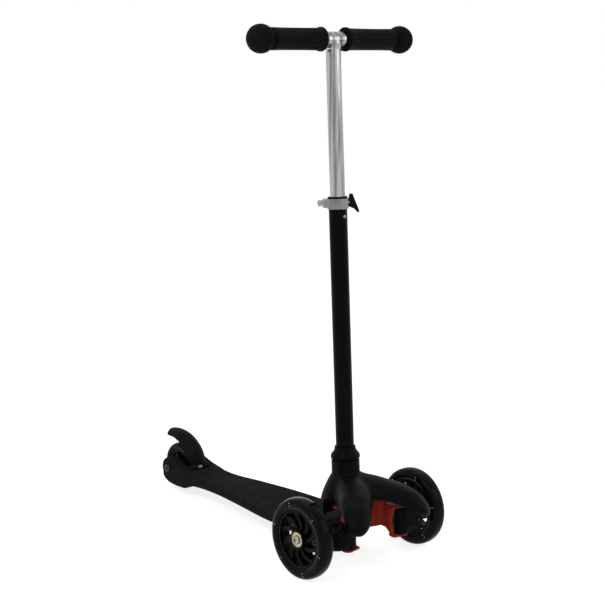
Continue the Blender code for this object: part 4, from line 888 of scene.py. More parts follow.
@dataclass
class FrontWheel:
    """One front wheel, with the lamp windows in its tyre and its axle hardware."""

    side: Side
    track: float = 225.0
    radius: float = 60.0
    boss_face: float = 13.6
    boss_length: float = 16.0
    spacer: float = 2.4
    lamp_radius: float = 51.5
    lamp_reach: float = 2.2
    lamp_height: float = 12.05
    lamps: int = 6

    def build(self) -> None:
        """Builds the wheel, its lamp windows, axle bolt, spacer and nut."""
        side, word = self.side, self.side.word
        place = at(side.value * self.track / 2, 0, self.radius) @ outward(side)
        wheel = Wheel("front", f"_{word}", place, self.radius, 43.0, 10, -34 * side.value,
                      SMOKED_TYRE)
        wheel.build()
        self.lamp_windows(place)
        face = wheel.hub_half
        spacer = turned(f"axle_spacer_{word}", [
            (wheel.bore, 0), (6.2, 0), (6.5, 0.3), (6.5, self.spacer - 0.3), (6.2, self.spacer),
            (wheel.bore, self.spacer),
        ], 48, ring=True)
        present(spacer, place @ shift(z=-face - wheel.gap - self.spacer), ZINC,
                f"front_axle_spacer_{word}")
        nut_face = self.boss_face + self.boss_length + wheel.gap
        bolt = ButtonBolt(f"axle_bolt_{word}", 4.0, 6.5, 3.6, face + wheel.gap + nut_face + 7.9)
        bolt.build(place @ shift(z=face + wheel.gap), f"front_axle_bolt_{word}")
        nut = HexNut(f"axle_nut_{word}", wheel.bore, 7.4, 6.4)
        nut.build(place @ shift(z=-nut_face) @ turn(180, "X"), f"front_axle_nut_{word}")

    def lamp_windows(self, place: Matrix) -> None:
        """Pairs of small light windows let into both flanks of the tyre, with a faint painted glow
        as their glint.
        """
        pads = []
        for height in (-self.lamp_height, self.lamp_height):
            for reach in (-self.lamp_reach, self.lamp_reach):
                middle = self.lamp_radius + reach
                pad = block(
                    "pad", (middle - 0.8, -1.1, height - 0.4), (middle + 0.8, 1.1, height + 0.4)
                )
                round_edges(pad, 0.3, 2)
                pads.append(pad)
        windows = around(gather(pads), self.lamps)
        windows.name = windows.data.name = f"lamp_windows_{self.side.word}"
        present(windows, place @ turn(17, "Z"), LAMP_WINDOW_WITH_PAINTED_GLOW, body=BODY_OF[f"front_tyre_{self.side.word}"])


@dataclass
class RearWheel:
    """The small rear wheel between the fork ears, with its axle."""

    wheelbase: float = 458.5
    radius: float = 40.0
    fork_inner: float = 15.5
    fork_outer: float = 34.0

    def build(self) -> None:
        """Builds the wheel, its spacers, its axle bolt and its nut."""
        place = at(0, self.wheelbase, self.radius) @ outward(Side.RIGHT)
        wheel = Wheel("rear", "", place, self.radius, 28.0, 5, 0, BLACK_TYRE)
        wheel.build()
        near, far = wheel.hub_half + wheel.gap, self.fork_inner - wheel.gap
        for word, sign in (("left", -1), ("right", 1)):
            spacer = turned(f"rear_spacer_{word}", [
                (wheel.bore, near), (6.5, near), (6.5, far - 0.3), (6.2, far), (wheel.bore, far),
            ], 48, ring=True)
            flip = Matrix.Identity(4) if sign > 0 else turn(180, "X")
            present(spacer, place @ flip, ZINC, f"rear_axle_spacer_{word}")
        bolt = ButtonBolt("rear_bolt", 4.0, 6.5, 3.6, 2 * self.fork_outer + 8.4, DARK_STEEL)
        bolt.build(place @ shift(z=self.fork_outer + wheel.gap), "rear_axle_bolt")
        nut = HexNut("rear_nut", wheel.bore, 7.4, 6.4, DARK_STEEL)
        nut.build(place @ shift(z=-self.fork_outer - wheel.gap) @ turn(180, "X"), "rear_axle_nut")


# Steering


@dataclass
class Knuckle:
    """The swivelling arm between the kingpin and a front axle, and its kingpin screw."""

    side: Side
    kingpin: Flat = (54.0, -34.0)
    barrel: float = 12.0
    low: float = 40.5
    high: float = 80.2
    lever: float = 48.0
    pin_top: float = 51.8
    boss_radius: float = 13.0
    boss_out: float = 44.9
    boss_in: float = 28.9
    axle_z: float = 60.0

    def build(self) -> None:
        """Builds the moulded arm and the screw that it swivels on."""
        side = self.side.value
        place = at(side * self.kingpin[0], self.kingpin[1], 0)
        word = self.side.word
        body = rod(f"knuckle_{word}", self.barrel, self.low, self.high)
        axle = move((0, -self.kingpin[1], self.axle_z)) @ turn(90 * side, "Y")
        boss = moved(rod("boss", self.boss_radius, self.boss_in, self.boss_out), axle)
        lever = plate("lever", [(-4.5, 0), (4.5, 0)] + arc((0, self.lever), 4.5, 0, 180), self.low,
                      self.low + 4.7)
        arm = gather([body, self.arm(), boss, lever])
        melt(arm, 0.8, 5)
        pin = turned("pin", [
            (0, self.low + 1), (2, self.low + 1), (2, self.pin_top - 0.4), (1.6, self.pin_top),
            (0, self.pin_top),
        ], 32)
        work(arm, moved(pin, move((0, self.lever, 0))), Join.ADD)
        work(arm, rod("bore", 3.3, self.low - 5, self.high + 5, 40), Join.CUT)
        for radius, start, end in ((4.3, self.boss_in - 5, self.boss_out + 5),
                                   (8.6, self.boss_in - 20, self.boss_in)):
            drill(arm, radius, start, end, axle, 48)
        present(arm, place, KNUCKLE, f"steering_knuckle_{word}", angle=40)
        screw = turned(f"kingpin_{word}", [
            (0, 0.6), (2.1, 0.6), (2.3, 0), (5.2, 0), (5.6, 0.3), (3, 2.8), (3, 47.3), (2.6, 47.7),
            (0, 47.7),
        ], 40)
        present(screw, place @ shift(z=36), ZINC, f"kingpin_screw_{word}")

    def arm(self) -> bpy.types.Object:
        """The web between the barrel and the axle boss."""
        barrel, reach, axle_y = self.barrel, self.boss_out - 2, -self.kingpin[1]
        outline = [
            (-0.8 * barrel, -0.4 * barrel), (-0.2 * barrel, -barrel), (0.9 * barrel, -barrel),
            (0.62 * reach, -0.75 * barrel), (0.9 * reach, 0), (reach, 0.9 * barrel),
            (reach, axle_y + 0.9 * self.boss_radius),
            (self.boss_in + 1, axle_y + 0.9 * self.boss_radius),
            (0.35 * reach, axle_y - 0.8 * self.boss_radius), (-0.8 * barrel, 0.5 * barrel),
        ]
        levels = [(self.low + 2.5, 0.86), (self.low + 9.5, 1.0), (self.axle_z + 12, 1.0)]
        return skin("arm", [
            [(self.side.value * x * share, y * share, z) for x, y in outline] for z, share in levels
        ])


@dataclass
class SteeringBracket:
    """The red moulded carrier that the knuckles, the shell and the deck are held by."""

    low: float = 36.0
    high: float = 84.0
    plate: float = 3.5
    web_x: float = 36.0
    web: float = 4.5
    face_y: float = 6.0
    face: float = 5.0
    face_low: float = 43.0
    face_half: float = 20.0
    face_rise: float = 6.0
    cheek_lift: float = 7.8
    cheek_fall: float = 2.3
    gusset_x: float = 10.0
    kingpin: Flat = (54.0, -34.0)
    ear: float = 9.0
    boss_front: float = 5.7
    boss_end: float = 34.0
    pivot_z: float = 80.0
    deck_front: float = 44.0
    tongue_end: float = 98.0

    def build(self) -> None:
        """Builds the carrier as one moulding, bores it and adds its screws."""
        out = self.web_x + self.web
        back = self.face_y + self.face
        half, neck, wide = self.face_half, 19, 28
        parts = [block("bracket", (-half, self.face_y, self.face_low),
                       (half, back, self.high + self.face_rise))]
        for side in Side:
            parts += self.wing(side.value, out, back)
        parts.append(plate("tongue", [
            (-neck, self.face_y + 1), (neck, self.face_y + 1), (neck, self.boss_end),
            (wide, self.deck_front), (wide, self.tongue_end - 6), (wide - 6, self.tongue_end),
            (6 - wide, self.tongue_end), (-wide, self.tongue_end - 6), (-wide, self.deck_front),
            (-neck, self.boss_end),
        ], self.low, self.low + 6))
        parts.append(block(
            "lip", (-neck, self.face_y + 1, self.low + 1), (neck, back - 0.5, self.face_low + 2)
        ))
        shelf_low = self.high - self.plate - 0.5
        rim = [(14.0, back - 1)] + arc((25, 22), 7.3, -60, 100) + [(14.0, 30.0)]
        rim += [(-x, y) for x, y in reversed(rim)]
        parts.append(plate("shelf", rim, shelf_low, self.high - 0.5))
        boss = rod("boss", 9, self.boss_front, self.boss_end + 0.5)
        boss.data.transform(self.pivot())
        body = gather([*parts, boss])
        melt(body, 0.85, 3)
        drill(body, 4.3, 0, self.boss_end + 5, self.pivot(), 48)
        reach = 5
        for side in Side:
            hole = turned("kingpin_hole", [
                (0, -reach), (5.9, -reach), (5.9, 0), (3.3, 2.6),
                (3.3, self.high - self.low + reach), (0, self.high - self.low + reach),
            ], 40)
            hole.data.transform(move((side.value * self.kingpin[0], self.kingpin[1], self.low)))
            work(body, hole, Join.CUT)
        for x, y in self.screws():
            drill(body, 2.3, self.low - reach, self.low + 6 + reach, move((x, y, 0)), 24)
        present(body, at(0, 0, 0), RED, "steering_bracket", angle=40)
        for i, (x, y) in enumerate(self.screws(), 1):
            screw = ButtonBolt(f"deck_fixing_{i}", 2.0, 3.8, 2.2, 8.7)
            screw.build(at(x, y, self.low - 0.3) @ turn(180, "X"), f"deck_screw_{i}")

    def pivot(self) -> Matrix:
        """The lean pivot's bench frame, with +Z to the rear."""
        return move((0, 0, self.pivot_z)) @ turn(-90, "X")

    def screws(self) -> list[Flat]:
        """Where the four deck screws stand."""
        return [(x, y) for y in (self.tongue_end - 38, self.tongue_end - 12) for x in (-18, 18)]

    def wing(self, side: int, out: float, back: float) -> list[bpy.types.Object]:
        """The web, clevis ears, ribs and gusset of one side.

        Args:
            side: the sign of x.
            out: the web's outer face.
            back: the rear of the face wall.

        Returns:
            The pieces, still apart.
        """
        front = self.kingpin[1] - 1
        cheek_y = self.kingpin[1] + 20
        web = [
            (cheek_y + 1.5, self.face_low + self.cheek_lift), (front + 2, self.low),
            (front, self.low + 1.5), (front + 3.5, self.low + 11), (front + 5.5, self.low + 23),
            (front + 4, self.low + 34), (front, self.high - 2.5), (front, self.high - 0.2),
            (cheek_y + 1.5, self.high - 0.2),
        ]
        between = sorted((side * self.web_x, side * out))
        made = [self.cheek(side, out, back, cheek_y), upright("web", web, *between)]
        x, y = self.web_x + 1, self.kingpin[1]
        nose = arc(self.kingpin, self.ear, -120, 60)
        ears = (
            (self.low, [(x, y + 10), (x - 2.5, y + 3), (x - 2.5, y - 5)]),
            (self.high - self.plate, [(x, y + 26), (x, y)]),
        )
        for low, root in ears:
            ear = [(side * x, y) for x, y in root + nose]
            made.append(plate("ear", ear, low, low + self.plate))
        near, far = sorted((side * self.gusset_x, side * (self.gusset_x + self.plate)))
        made.append(block("gusset", (near, 19.8, self.low + 1), (far, 29, self.high - 3)))
        for x, y, low in ((23.4, 1.6, 46), (30.2, -6.3, 49)):
            bead = rod("bead", 1.5, low, self.high + 1.5, 24)
            bead.data.transform(move((side * x, y, 0)))
            made.append(bead)
        return made

    def cheek(self, side: int, out: float, back: float, cheek_y: float) -> bpy.types.Object:
        """The slanted wall from the face to a web, falling at its top and rising at its foot.

        Args:
            side: the sign of x.
            out: the web's outer face.
            back: the rear of the face wall.
            cheek_y: where the wall meets the web.

        Returns:
            The wall.
        """
        plan = [
            (self.face_half - 2, self.face_y + 1), (self.web_x + 0.5, cheek_y),
            (out - 0.3, cheek_y + 1), (self.face_half + 2, back - 0.2),
            (self.face_half - 1, back - 0.5),
        ]
        run = plan[2][0] - plan[0][0]
        levels = (
            (self.face_low + 0.2, self.cheek_lift / run),
            (self.high + self.face_rise - 0.2, -self.cheek_fall / run),
        )
        return skin("cheek", [
            [(side * x, y, level + slope * (x - plan[0][0])) for x, y in plan]
            for level, slope in levels
        ])


@dataclass
class TieRod:
    """The cross link between the knuckles' levers, with its slotted block."""

    y: float = 14.0
    z: float = 48.0
    radius: float = 2.3
    eye_x: float = 54.0

    def build(self) -> None:
        """Builds the rod, its block and its two eyes."""
        across = turn(90, "Y")
        body = rod("cross_link", self.radius, 3.5 - self.eye_x, self.eye_x - 3.5, 40)
        body.data.transform(across)
        centre = block("centre", (-6.5, -2.4, -5.2), (6.5, 3, 5.2))
        round_edges(centre, 0.8, 3)
        work(body, centre, Join.ADD)
        for side in Side:
            end = move((side.value * self.eye_x, 0, 0))
            work(body, moved(dowel("eye", 5, 2.5, 0.4, 48), end), Join.ADD)
            drill(body, 2.8, -8, 8, end)
        work(body, block("slot", (-2.8, -9, -3.7), (2.8, 9, 3.7)), Join.CUT)
        present(body, at(0, self.y, self.z), ZINC, "tie_rod")


# Front shell


@dataclass
class FrontShell:
    """The leaning cover: a dome open to the front, two drooping horns, a neck and its lugs."""

    wall: float = 3.0
    inset: float = 4.5
    arch_rear: float = 34.0
    arch_top: float = 97.3
    pivot_z: float = 80.0
    horn_angle: float = math.radians(34.3)
    neck_radius: float = 21.3
    neck_top: float = 30.0
    # Height, half width, front and rear of the dome's plan sections
    dome: tuple[tuple[float, ...], ...] = (
        (57, 41, -8, 69), (72, 42.5, -10, 69), (88, 43, -12, 66), (102, 41, -10, 62),
        (114, 36, -4, 58), (123, 29.5, 3, 55), (129, 24, 8.5, 53.5), (132, 21, 11.5, 52.5),
    )
    # Crest (along, height, degrees that it faces up), then the inner and the outer lip, each as
    # (along, across, height)
    horn: tuple[tuple[float, ...], ...] = (
        (20, 131, 90, 20, -30, 95, 20, 20, 97),
        (42, 129, 88, 42, -34, 97.5, 40, 20.5, 97),
        (54, 126.5, 85, 54, -34.6, 99.5, 54, 21, 97),
        (66, 123.3, 80, 64, -33.5, 100.5, 64, 21, 97.5),
        (82, 119, 73, 75, -30, 97, 75, 21, 97.5),
        (96, 113, 65, 88, -26.3, 92, 86, 20.3, 97.3),
        (109, 107, 55, 99, -24, 87.5, 96, 18.8, 96),
        (119, 97.7, 40, 107, -22.3, 83.5, 104, 18, 91),
        (126.3, 88, 20, 113, -19.5, 79.5, 111, 17, 83.5),
        (129.4, 78.5, 0, 118.5, -14, 74.8, 117, 13.5, 78),
        (128, 72.5, 0, 123, -7, 71.2, 122.5, 7, 73),
    )
    # How far from the stem the horns' roots are eased, over what length that fades, from what
    # height on, and in how many rounds
    root: tuple[float, float, float, int] = (66.0, 14.0, 102.0, 200)

    def build(self) -> None:
        """Builds the cover as one thin-walled moulding."""
        body = skin("shell", [self.dome_ring(row) for row in flowing(self.dome, 4)])
        opening = [
            (-60, 0), (self.arch_rear, 0), (self.arch_rear, self.arch_top - 9),
            (self.arch_rear - 2.5, self.arch_top - 3.3), (self.arch_rear - 8, self.arch_top),
            (-60, self.arch_top),
        ]
        work(body, upright("opening", opening, -70, 70), Join.CUT)
        rows = flowing(self.horn, 4)
        for side in Side:
            work(body, skin("horn", [self.horn_ring(side.value, row) for row in rows]), Join.ADD)
        melt(body, 1.4, 16)
        self.blend(body)
        neck = rod("neck", self.neck_radius, -4, self.neck_top, 96)
        round_edges(neck, 0.6, 3)
        work(body, self.raked(neck), Join.ADD)
        inner = [(z - (self.inset if z > 100 else 0), *rest) for z, *rest in flowing(self.dome, 4)]
        hollow = [self.dome_ring((20, *self.dome[0][1:]), self.wall)]
        hollow += [self.dome_ring(row, self.inset if row[0] > 96 else self.wall) for row in inner]
        work(body, skin("hollow", hollow), Join.CUT)
        for side in Side:
            inside = [
                self.horn_ring(side.value, row, self.inset, 40)
                for row in flowing(self.horn[:-2], 4)
            ]
            work(body, skin("horn_hollow", inside), Join.CUT)
        self.inner_fittings(body)
        melt(body, 1.05, 3)
        for tool in (rod("tube_bore", 13.9, -24.7, 35, 72), rod("drain", 8, -33, 0, 48),
                     rod("spigot_bore", 17.3, 12.2, 35, 72)):
            work(body, self.raked(tool), Join.CUT)
        cross = moved(rod("pin_bore", 2.8, -30, 30, 32), move((0, 0, -12)) @ turn(90, "Y"))
        work(body, self.raked(cross), Join.CUT)
        drill(body, 4.3, -20, 60, self.pivot(), 40)
        present(body, at(0, 0, 0), SHELL, "front_shell", angle=40)

    def blend(self, body: bpy.types.Object) -> None:
        """Runs the horns' roots into the dome without a crease."""
        reach, fade, low, rounds = self.root
        root = body.vertex_groups.new(name="root")
        for vertex in body.data.vertices:
            x, y, z = vertex.co
            away = math.hypot(x, y - 10)
            share = min(1.0, max(0.0, (reach - away) / fade)) * min(1.0, max(0.0, (z - low) / 8))
            if share > 0:
                root.add([vertex.index], share, "REPLACE")
        ease = body.modifiers.new("ease", "SMOOTH")
        ease.factor = 0.5
        ease.iterations = rounds
        ease.vertex_group = root.name
        pick(body)
        bpy.ops.object.modifier_apply(modifier=ease.name)
        body.vertex_groups.clear()

    def inner_fittings(self, body: bpy.types.Object) -> None:
        """Adds the stem socket, the pivot lugs, the drive foot and the spring seats."""
        work(body, self.raked(rod("socket", 17.5, -27.4, 8, 72)), Join.ADD)
        front_top = [(10, 128.4), (6, 127.6), (0, 123.2)]
        for y, top in ((0.4, front_top), (34.9, [(15, 119)])):
            outline = arc((0, self.pivot_z), 9, 0, -180)
            outline += [(-x, z) for x, z in top] + [(x, z) for x, z in reversed(top) if x > 0]
            lug = plate("lug", [(x, -z) for x, z in outline], y, y + 5)
            work(body, moved(lug, turn(-90, "X")), Join.ADD)
        work(body, block("drive_foot", (-5, 35.4, 44.5), (5, 39.4, self.pivot_z)), Join.ADD)
        pin = moved(rod("drive_pin", 2.5, 12, 36.9, 40), move((0, 0, 48)) @ turn(-90, "X"))
        work(body, pin, Join.ADD)
        for side in Side:
            seat = moved(rod("spring_seat", 7, 105.5, 118.5, 48), move((side.value * 25, 22, 0)))
            work(body, seat, Join.ADD)

    def pivot(self) -> Matrix:
        """The lean pivot's bench frame, with +Z to the rear."""
        return move((0, 0, self.pivot_z)) @ turn(-90, "X")

    def raked(self, piece: bpy.types.Object) -> bpy.types.Object:
        """Moves a tool from the stem's own frame to the shell's."""
        return moved(piece, move((0, *STEM_FOOT)) @ Matrix.Rotation(-STEM_RAKE, 4, "X"))

    def dome_ring(self, row: Sequence[float], inset: float = 0) -> list[Point]:
        """An oval plan section of the dome."""
        z, half, front, rear = row
        steps = 72
        turn_step = math.tau / steps
        return [
            (
                (half - inset) * math.cos(turn_step * i),
                (front + rear) / 2 + ((rear - front) / 2 - inset) * math.sin(turn_step * i),
                z,
            )
            for i in range(steps)
        ]

    def horn_point(self, side: int, along: float, across: float, z: float) -> Point:
        """A point of a horn, which runs from the stem's axis forward and outward."""
        x = along * math.sin(self.horn_angle) + across * math.cos(self.horn_angle)
        y = across * math.sin(self.horn_angle) - along * math.cos(self.horn_angle)
        return (side * x, STEM_FOOT[0] + y, z)

    def horn_ring(
        self, side: int, row: Sequence[float], inset: float = 0, drop: float = 0
    ) -> list[Point]:
        """A section of a horn: an arch from its inner lip over the crest to its outer lip.

        Args:
            side: the sign of x.
            row: the section's numbers.
            inset: how far inside the surface the section lies.
            drop: how far both its feet reach down.

        Returns:
            The points of the section.
        """
        steps, power = 12, 0.85
        faces_up = math.radians(row[2])
        back = inset * math.cos(faces_up)
        top = (row[0] - back, row[1] - inset * math.sin(faces_up))
        points: list[Point] = []
        for lip, inward, order in (
            (row[3:6], 1, range(steps + 1)), (row[6:9], -1, range(steps - 1, -1, -1))
        ):
            foot = (lip[0] - back, lip[1] + inward * inset, lip[2])
            for i in order:
                angle = math.pi / 2 * i / steps
                rise = math.sin(angle) ** power
                across = foot[1] * max(0.0, math.cos(angle)) ** power
                along = foot[0] + (top[0] - foot[0]) * rise
                height = foot[2] + (top[1] - foot[2]) * rise
                points.append(self.horn_point(side, along, across, height))
            if drop:
                end = self.horn_point(side, foot[0], foot[1], foot[2] - drop)
                points.insert(0 if inward > 0 else len(points), end)
        return points


@dataclass
class LeanPivot:
    """The bolt and nut that the shell leans on, and the two coil springs that centre it."""

    front_y: float = 0.1
    rear_y: float = 40.2
    z: float = 80.0
    spring_x: float = 25.0
    spring_y: float = 22.0
    spring_z: float = 84.8
    spring_radius: float = 5.5
    wire: float = 1.0
    turns: int = 5
    pitch: float = 3.88
    pressed: float = 0.5

    def build(self) -> None:
        """Builds the bolt, the nut and both springs."""
        bolt = ButtonBolt("pivot_bolt", 4.0, 7.0, 4.2, self.rear_y - self.front_y + 7.4)
        bolt.build(at(0, self.front_y, self.z) @ turn(90, "X"), "lean_pivot_bolt")
        nut = HexNut("pivot_nut", 4.3, 7.4, 6.4)
        nut.build(at(0, self.rear_y, self.z) @ turn(-90, "X"), "lean_pivot_nut")
        steps = 20
        points = [
            (
                self.spring_radius * math.cos(math.tau * i / steps),
                self.spring_radius * math.sin(math.tau * i / steps),
                self.pitch * i / steps,
            )
            for i in range(steps * self.turns + 1)
        ]
        for side in Side:
            spring = wound(f"centring_coil_{side.word}", points, self.wire)
            place = at(side.value * self.spring_x, self.spring_y, self.spring_z)
            present(spring, place, DARK_STEEL, f"centring_spring_{side.word}", angle=60)
            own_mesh(spring)


# Stem


@dataclass
class Stem:
    """The painted outer tube in its collar, with its cross pin, bushing and lock button."""

    tube: float = 13.6
    tube_bore: float = 12.3
    bottom: float = -24.4
    top: float = 421.6
    button_s: float = 395.5
    pin_s: float = -12.0

    def build(self) -> None:
        """Builds the tube and everything fixed in it."""
        self.outer_tube()
        self.collar()
        pin = dowel("cross_pin", 2.5, 17, 0.5)
        present(pin, stem(self.pin_s) @ outward(Side.LEFT), ZINC, "stem_cross_pin")
        base = self.top + 0.3
        bushing = turned("tube_bushing", [
            (11.4, base - 20), (12, base - 20), (12, base), (14.6, base), (14.8, base + 0.3),
            (14.8, base + 1.6), (14.5, base + 2.2), (14, base + 2.6), (11.4, base + 2.6),
        ], 72, ring=True)
        present(bushing, stem(), COLLAR, "stem_tube_bushing")
        button = turned("lock_button", [
            (0, 11.4), (2.5, 11.4), (2.5, 14.6), (2.2, 15.1), (1.5, 15.45), (0, 15.6),
        ], 40)
        present(button, stem(self.button_s) @ turn(90, "X"), SATIN_ALLOY, "height_button")
        self.leaf_spring()

    def outer_tube(self) -> None:
        """The painted tube, bored for its cross pin and its button."""
        tube = turned("outer_tube", [
            (self.tube_bore, self.bottom), (self.tube, self.bottom), (self.tube, self.top - 0.3),
            (self.tube - 0.3, self.top), (self.tube_bore, self.top),
        ], 72, ring=True)
        drill(tube, 2.8, -30, 30, move((0, 0, self.pin_s)) @ turn(90, "Y"))
        drill(tube, 2.8, 0, 30, move((0, 0, self.button_s)) @ turn(90, "X"))
        present(tube, stem(), STEM_PAINT, "stem_outer_tube")

    def collar(self) -> None:
        """The collar that closes the shell's neck round the tube."""
        collar = turned("neck_collar", [
            (13.9, 12.5), (17, 12.5), (17, 31.4), (20.8, 31.4), (21.5, 31.8), (22, 32.8),
            (22, 36.2), (21.8, 37.2), (21, 38.6), (19.6, 40.4), (17.6, 43), (16.6, 45),
            (16, 47.4), (15.9, 49.6), (15.5, 50.1), (13.9, 50.1),
        ], 96, ring=True)
        present(collar, stem(), COLLAR, "stem_collar", angle=25)

    def leaf_spring(self) -> None:
        """The bent leaf behind the lock button."""
        reach, thick, fold, dip = 8.7, 0.7, 34, 3.2
        outline = [
            (-reach + dip, 6), (-reach + dip + thick, 6), (-reach + dip + thick, -8),
            (-1.2, -fold + 3), (1.2, -fold + 3), (reach - thick, -4), (reach - thick, 6),
            (reach, 6), (reach, -4), (2.4, -fold), (-2.4, -fold), (-reach + dip, -8),
        ]
        leaf = upright("button_leaf", outline, -2.4, 2.4)
        round_edges(leaf, 0.15, 2)
        present(leaf, stem(self.button_s), ZINC, "button_leaf_spring")


@dataclass
class Clamp:
    """The quick-release clamp: a split ring, its cross bolt and nut, and its cam lever."""

    centre_s: float = 413.9
    turn_degrees: float = -40.0
    half: float = 7.7
    bore: float = 13.9
    wall: float = 1.7
    bolt_offset: float = 22.0
    lug_left: float = -22.0
    lug_right: float = 11.0

    def build(self) -> None:
        """Builds the ring and what tightens it."""
        place = stem(self.centre_s) @ turn(self.turn_degrees, "Z")
        ring = dowel("clamp_band", self.bore + self.wall, self.half, 0.4, 96)
        back = self.bolt_offset + 4.6
        lugs = plate("lugs", [(self.lug_left, back), (self.lug_left, 12), (self.lug_right, 10),
                              (self.lug_right, back)], 1 - self.half, self.half - 1)
        round_edges(lugs, 1.0, 3)
        work(ring, lugs, Join.ADD)
        work(ring, rod("bore", self.bore, -16, 16, 96), Join.CUT)
        work(ring, block("slit", (-1.5, self.bore - 3, -16), (1.5, 60, 16)), Join.CUT)
        drill(ring, 2.8, -50, 50, move((0, self.bolt_offset, 0)) @ turn(90, "Y"), 40)
        present(ring, place, SATIN_ALLOY, "clamp_ring")
        axis = place @ shift(y=self.bolt_offset) @ outward(Side.LEFT)
        nut = HexNut("clamp_hex", 2.8, 5.2, 6.5)
        nut.build(axis @ shift(z=self.lug_left - 0.3) @ turn(180, "X"), "clamp_nut")
        lever_x = self.lug_right + 5.4
        bolt = turned("clamp_cross_bolt", [
            (0, self.lug_left - 8), (2.1, self.lug_left - 8), (2.5, self.lug_left - 7.6),
            (2.5, lever_x), (0, lever_x),
        ], 40)
        hinge = move((0, 0, lever_x)) @ turn(90, "X")
        work(bolt, moved(rod("eye", 3.9, -2.6, 2.6, 40), hinge), Join.ADD)
        drill(bolt, 1.9, -20, 20, hinge)
        present(bolt, axis, ZINC, "clamp_bolt")
        pin = dowel("lever_pin", 1.6, 6.5, 0.4)
        present(pin, axis @ shift(z=lever_x) @ turn(90, "X"), ZINC, "clamp_lever_pin")
        self.lever(place @ shift(lever_x, self.bolt_offset) @ turn(-90, "X"))

    def lever(self, place: Matrix) -> None:
        """The cam lever, drawn where x runs along the bolt and -y up the stem."""
        outline = [(x, -y) for x, y in arc((0, 0), 5, 90, 250)]
        outline += [(2.5, 7), (7.5, 9), (10.6, 12.6), (13, 15), (14.6, 15.2), (15.5, 13.5),
                    (14.4, 9), (12, 3), (10, -2.6), (8, -8), (7.2, -11.2), (6, -12.5), (3, -13),
                    (1.5, -12.5)]
        lever = plate("cam_lever", outline, -6.5, 6.5)
        round_edges(lever, 0.9, 3, 50)
        work(lever, block("slot", (-9, -7, -2.9), (5.2, 7, 2.9)), Join.CUT)
        work(lever, rod("pin_bore", 1.9, -20, 20, 32), Join.CUT)
        present(lever, place, LEVER, "clamp_lever", angle=40)


# Handlebar


@dataclass
class Handlebar:
    """The chromed tube and crossbar, welded into a T, with its height holes."""

    s: float = 650.9
    radius: float = 11.1
    bore: float = 9.6
    bottom: float = 262.0
    half: float = 128.0
    button_s: float = 395.5
    height_step: float = 25.0
    heights: int = 5

    def build(self) -> None:
        """Builds the welded tubes."""
        tee = rod("tee", self.radius, self.bottom, self.s, 72)
        cross = move((0, 0, self.s)) @ turn(90, "Y")
        work(tee, moved(rod("crossbar", self.radius, -self.half, self.half, 72), cross), Join.ADD)
        weld = turned("weld", [
            (0, self.s - 15), (self.radius, self.s - 14.8), (self.radius + 0.7, self.s - 14),
            (self.radius + 1.1, self.s - 12.4), (self.radius + 1.7, self.s - 9.5),
            (self.radius + 1.8, self.s - 3), (0, self.s - 1),
        ], 72)
        work(tee, weld, Join.ADD)
        drill(tee, self.bore, -2 * self.half, 2 * self.half, cross, 64)
        work(tee, rod("upright_bore", self.bore, self.bottom - 20, self.s - 2, 64), Join.CUT)
        for i in range(self.heights):
            hole = rod("height_hole", 3.1, 0, 30, 32)
            hole.data.transform(
                move((0, 0, self.button_s - i * self.height_step))
                @ turn(90, "X")
            )
            work(tee, hole, Join.CUT)
        present(tee, stem(), CHROME, "handlebar_tee", angle=30)
        for side in Side:
            self.grip(side)

    def grip(self, side: Side) -> None:
        """A rubber grip: an inner flange, long flutes, and a ribbed ball end."""
        inner_x, ball_x, ball, sleeve = 22.0, 132.5, 20.5, 16.0
        bore = self.radius + 0.3
        profile = [(0, self.half + 0.3), (bore, self.half + 0.3), (bore, inner_x),
                   (17, inner_x), (17.5, inner_x + 0.5), (17.5, inner_x + 2.6), (17, inner_x + 3.2),
                   (sleeve, inner_x + 4.6), (sleeve - 0.4, inner_x + 30),
                   (sleeve - 0.4, ball_x - 40), (sleeve, ball_x - 19)]
        ribs, start, end = 6, 142, 40
        for i in range(ribs):
            for share, depth in ((0.0, 0.0), (0.15, 0.0), (0.3, 0.9), (0.55, 0.9), (0.7, 0.0)):
                angle = math.radians(start - (start - end) * (i + share) / ribs)
                reach = ball - depth
                profile.append((reach * math.sin(angle), ball_x + reach * math.cos(angle)))
        profile += [(max(0.0, y), x) for x, y in arc((ball_x, 0), ball, 38, 0, 7)]
        grip = turned(f"hand_grip_{side.word}", profile, 80)
        flute = block("flute", (-0.7, sleeve - 0.9, 34), (0.7, sleeve + 2, 100))
        round_edges(flute, 0.3, 2)
        work(grip, around(flute, 14), Join.CUT)
        present(grip, stem(self.s) @ outward(side), GRIP, f"grip_{side.word}", angle=38)


# Deck


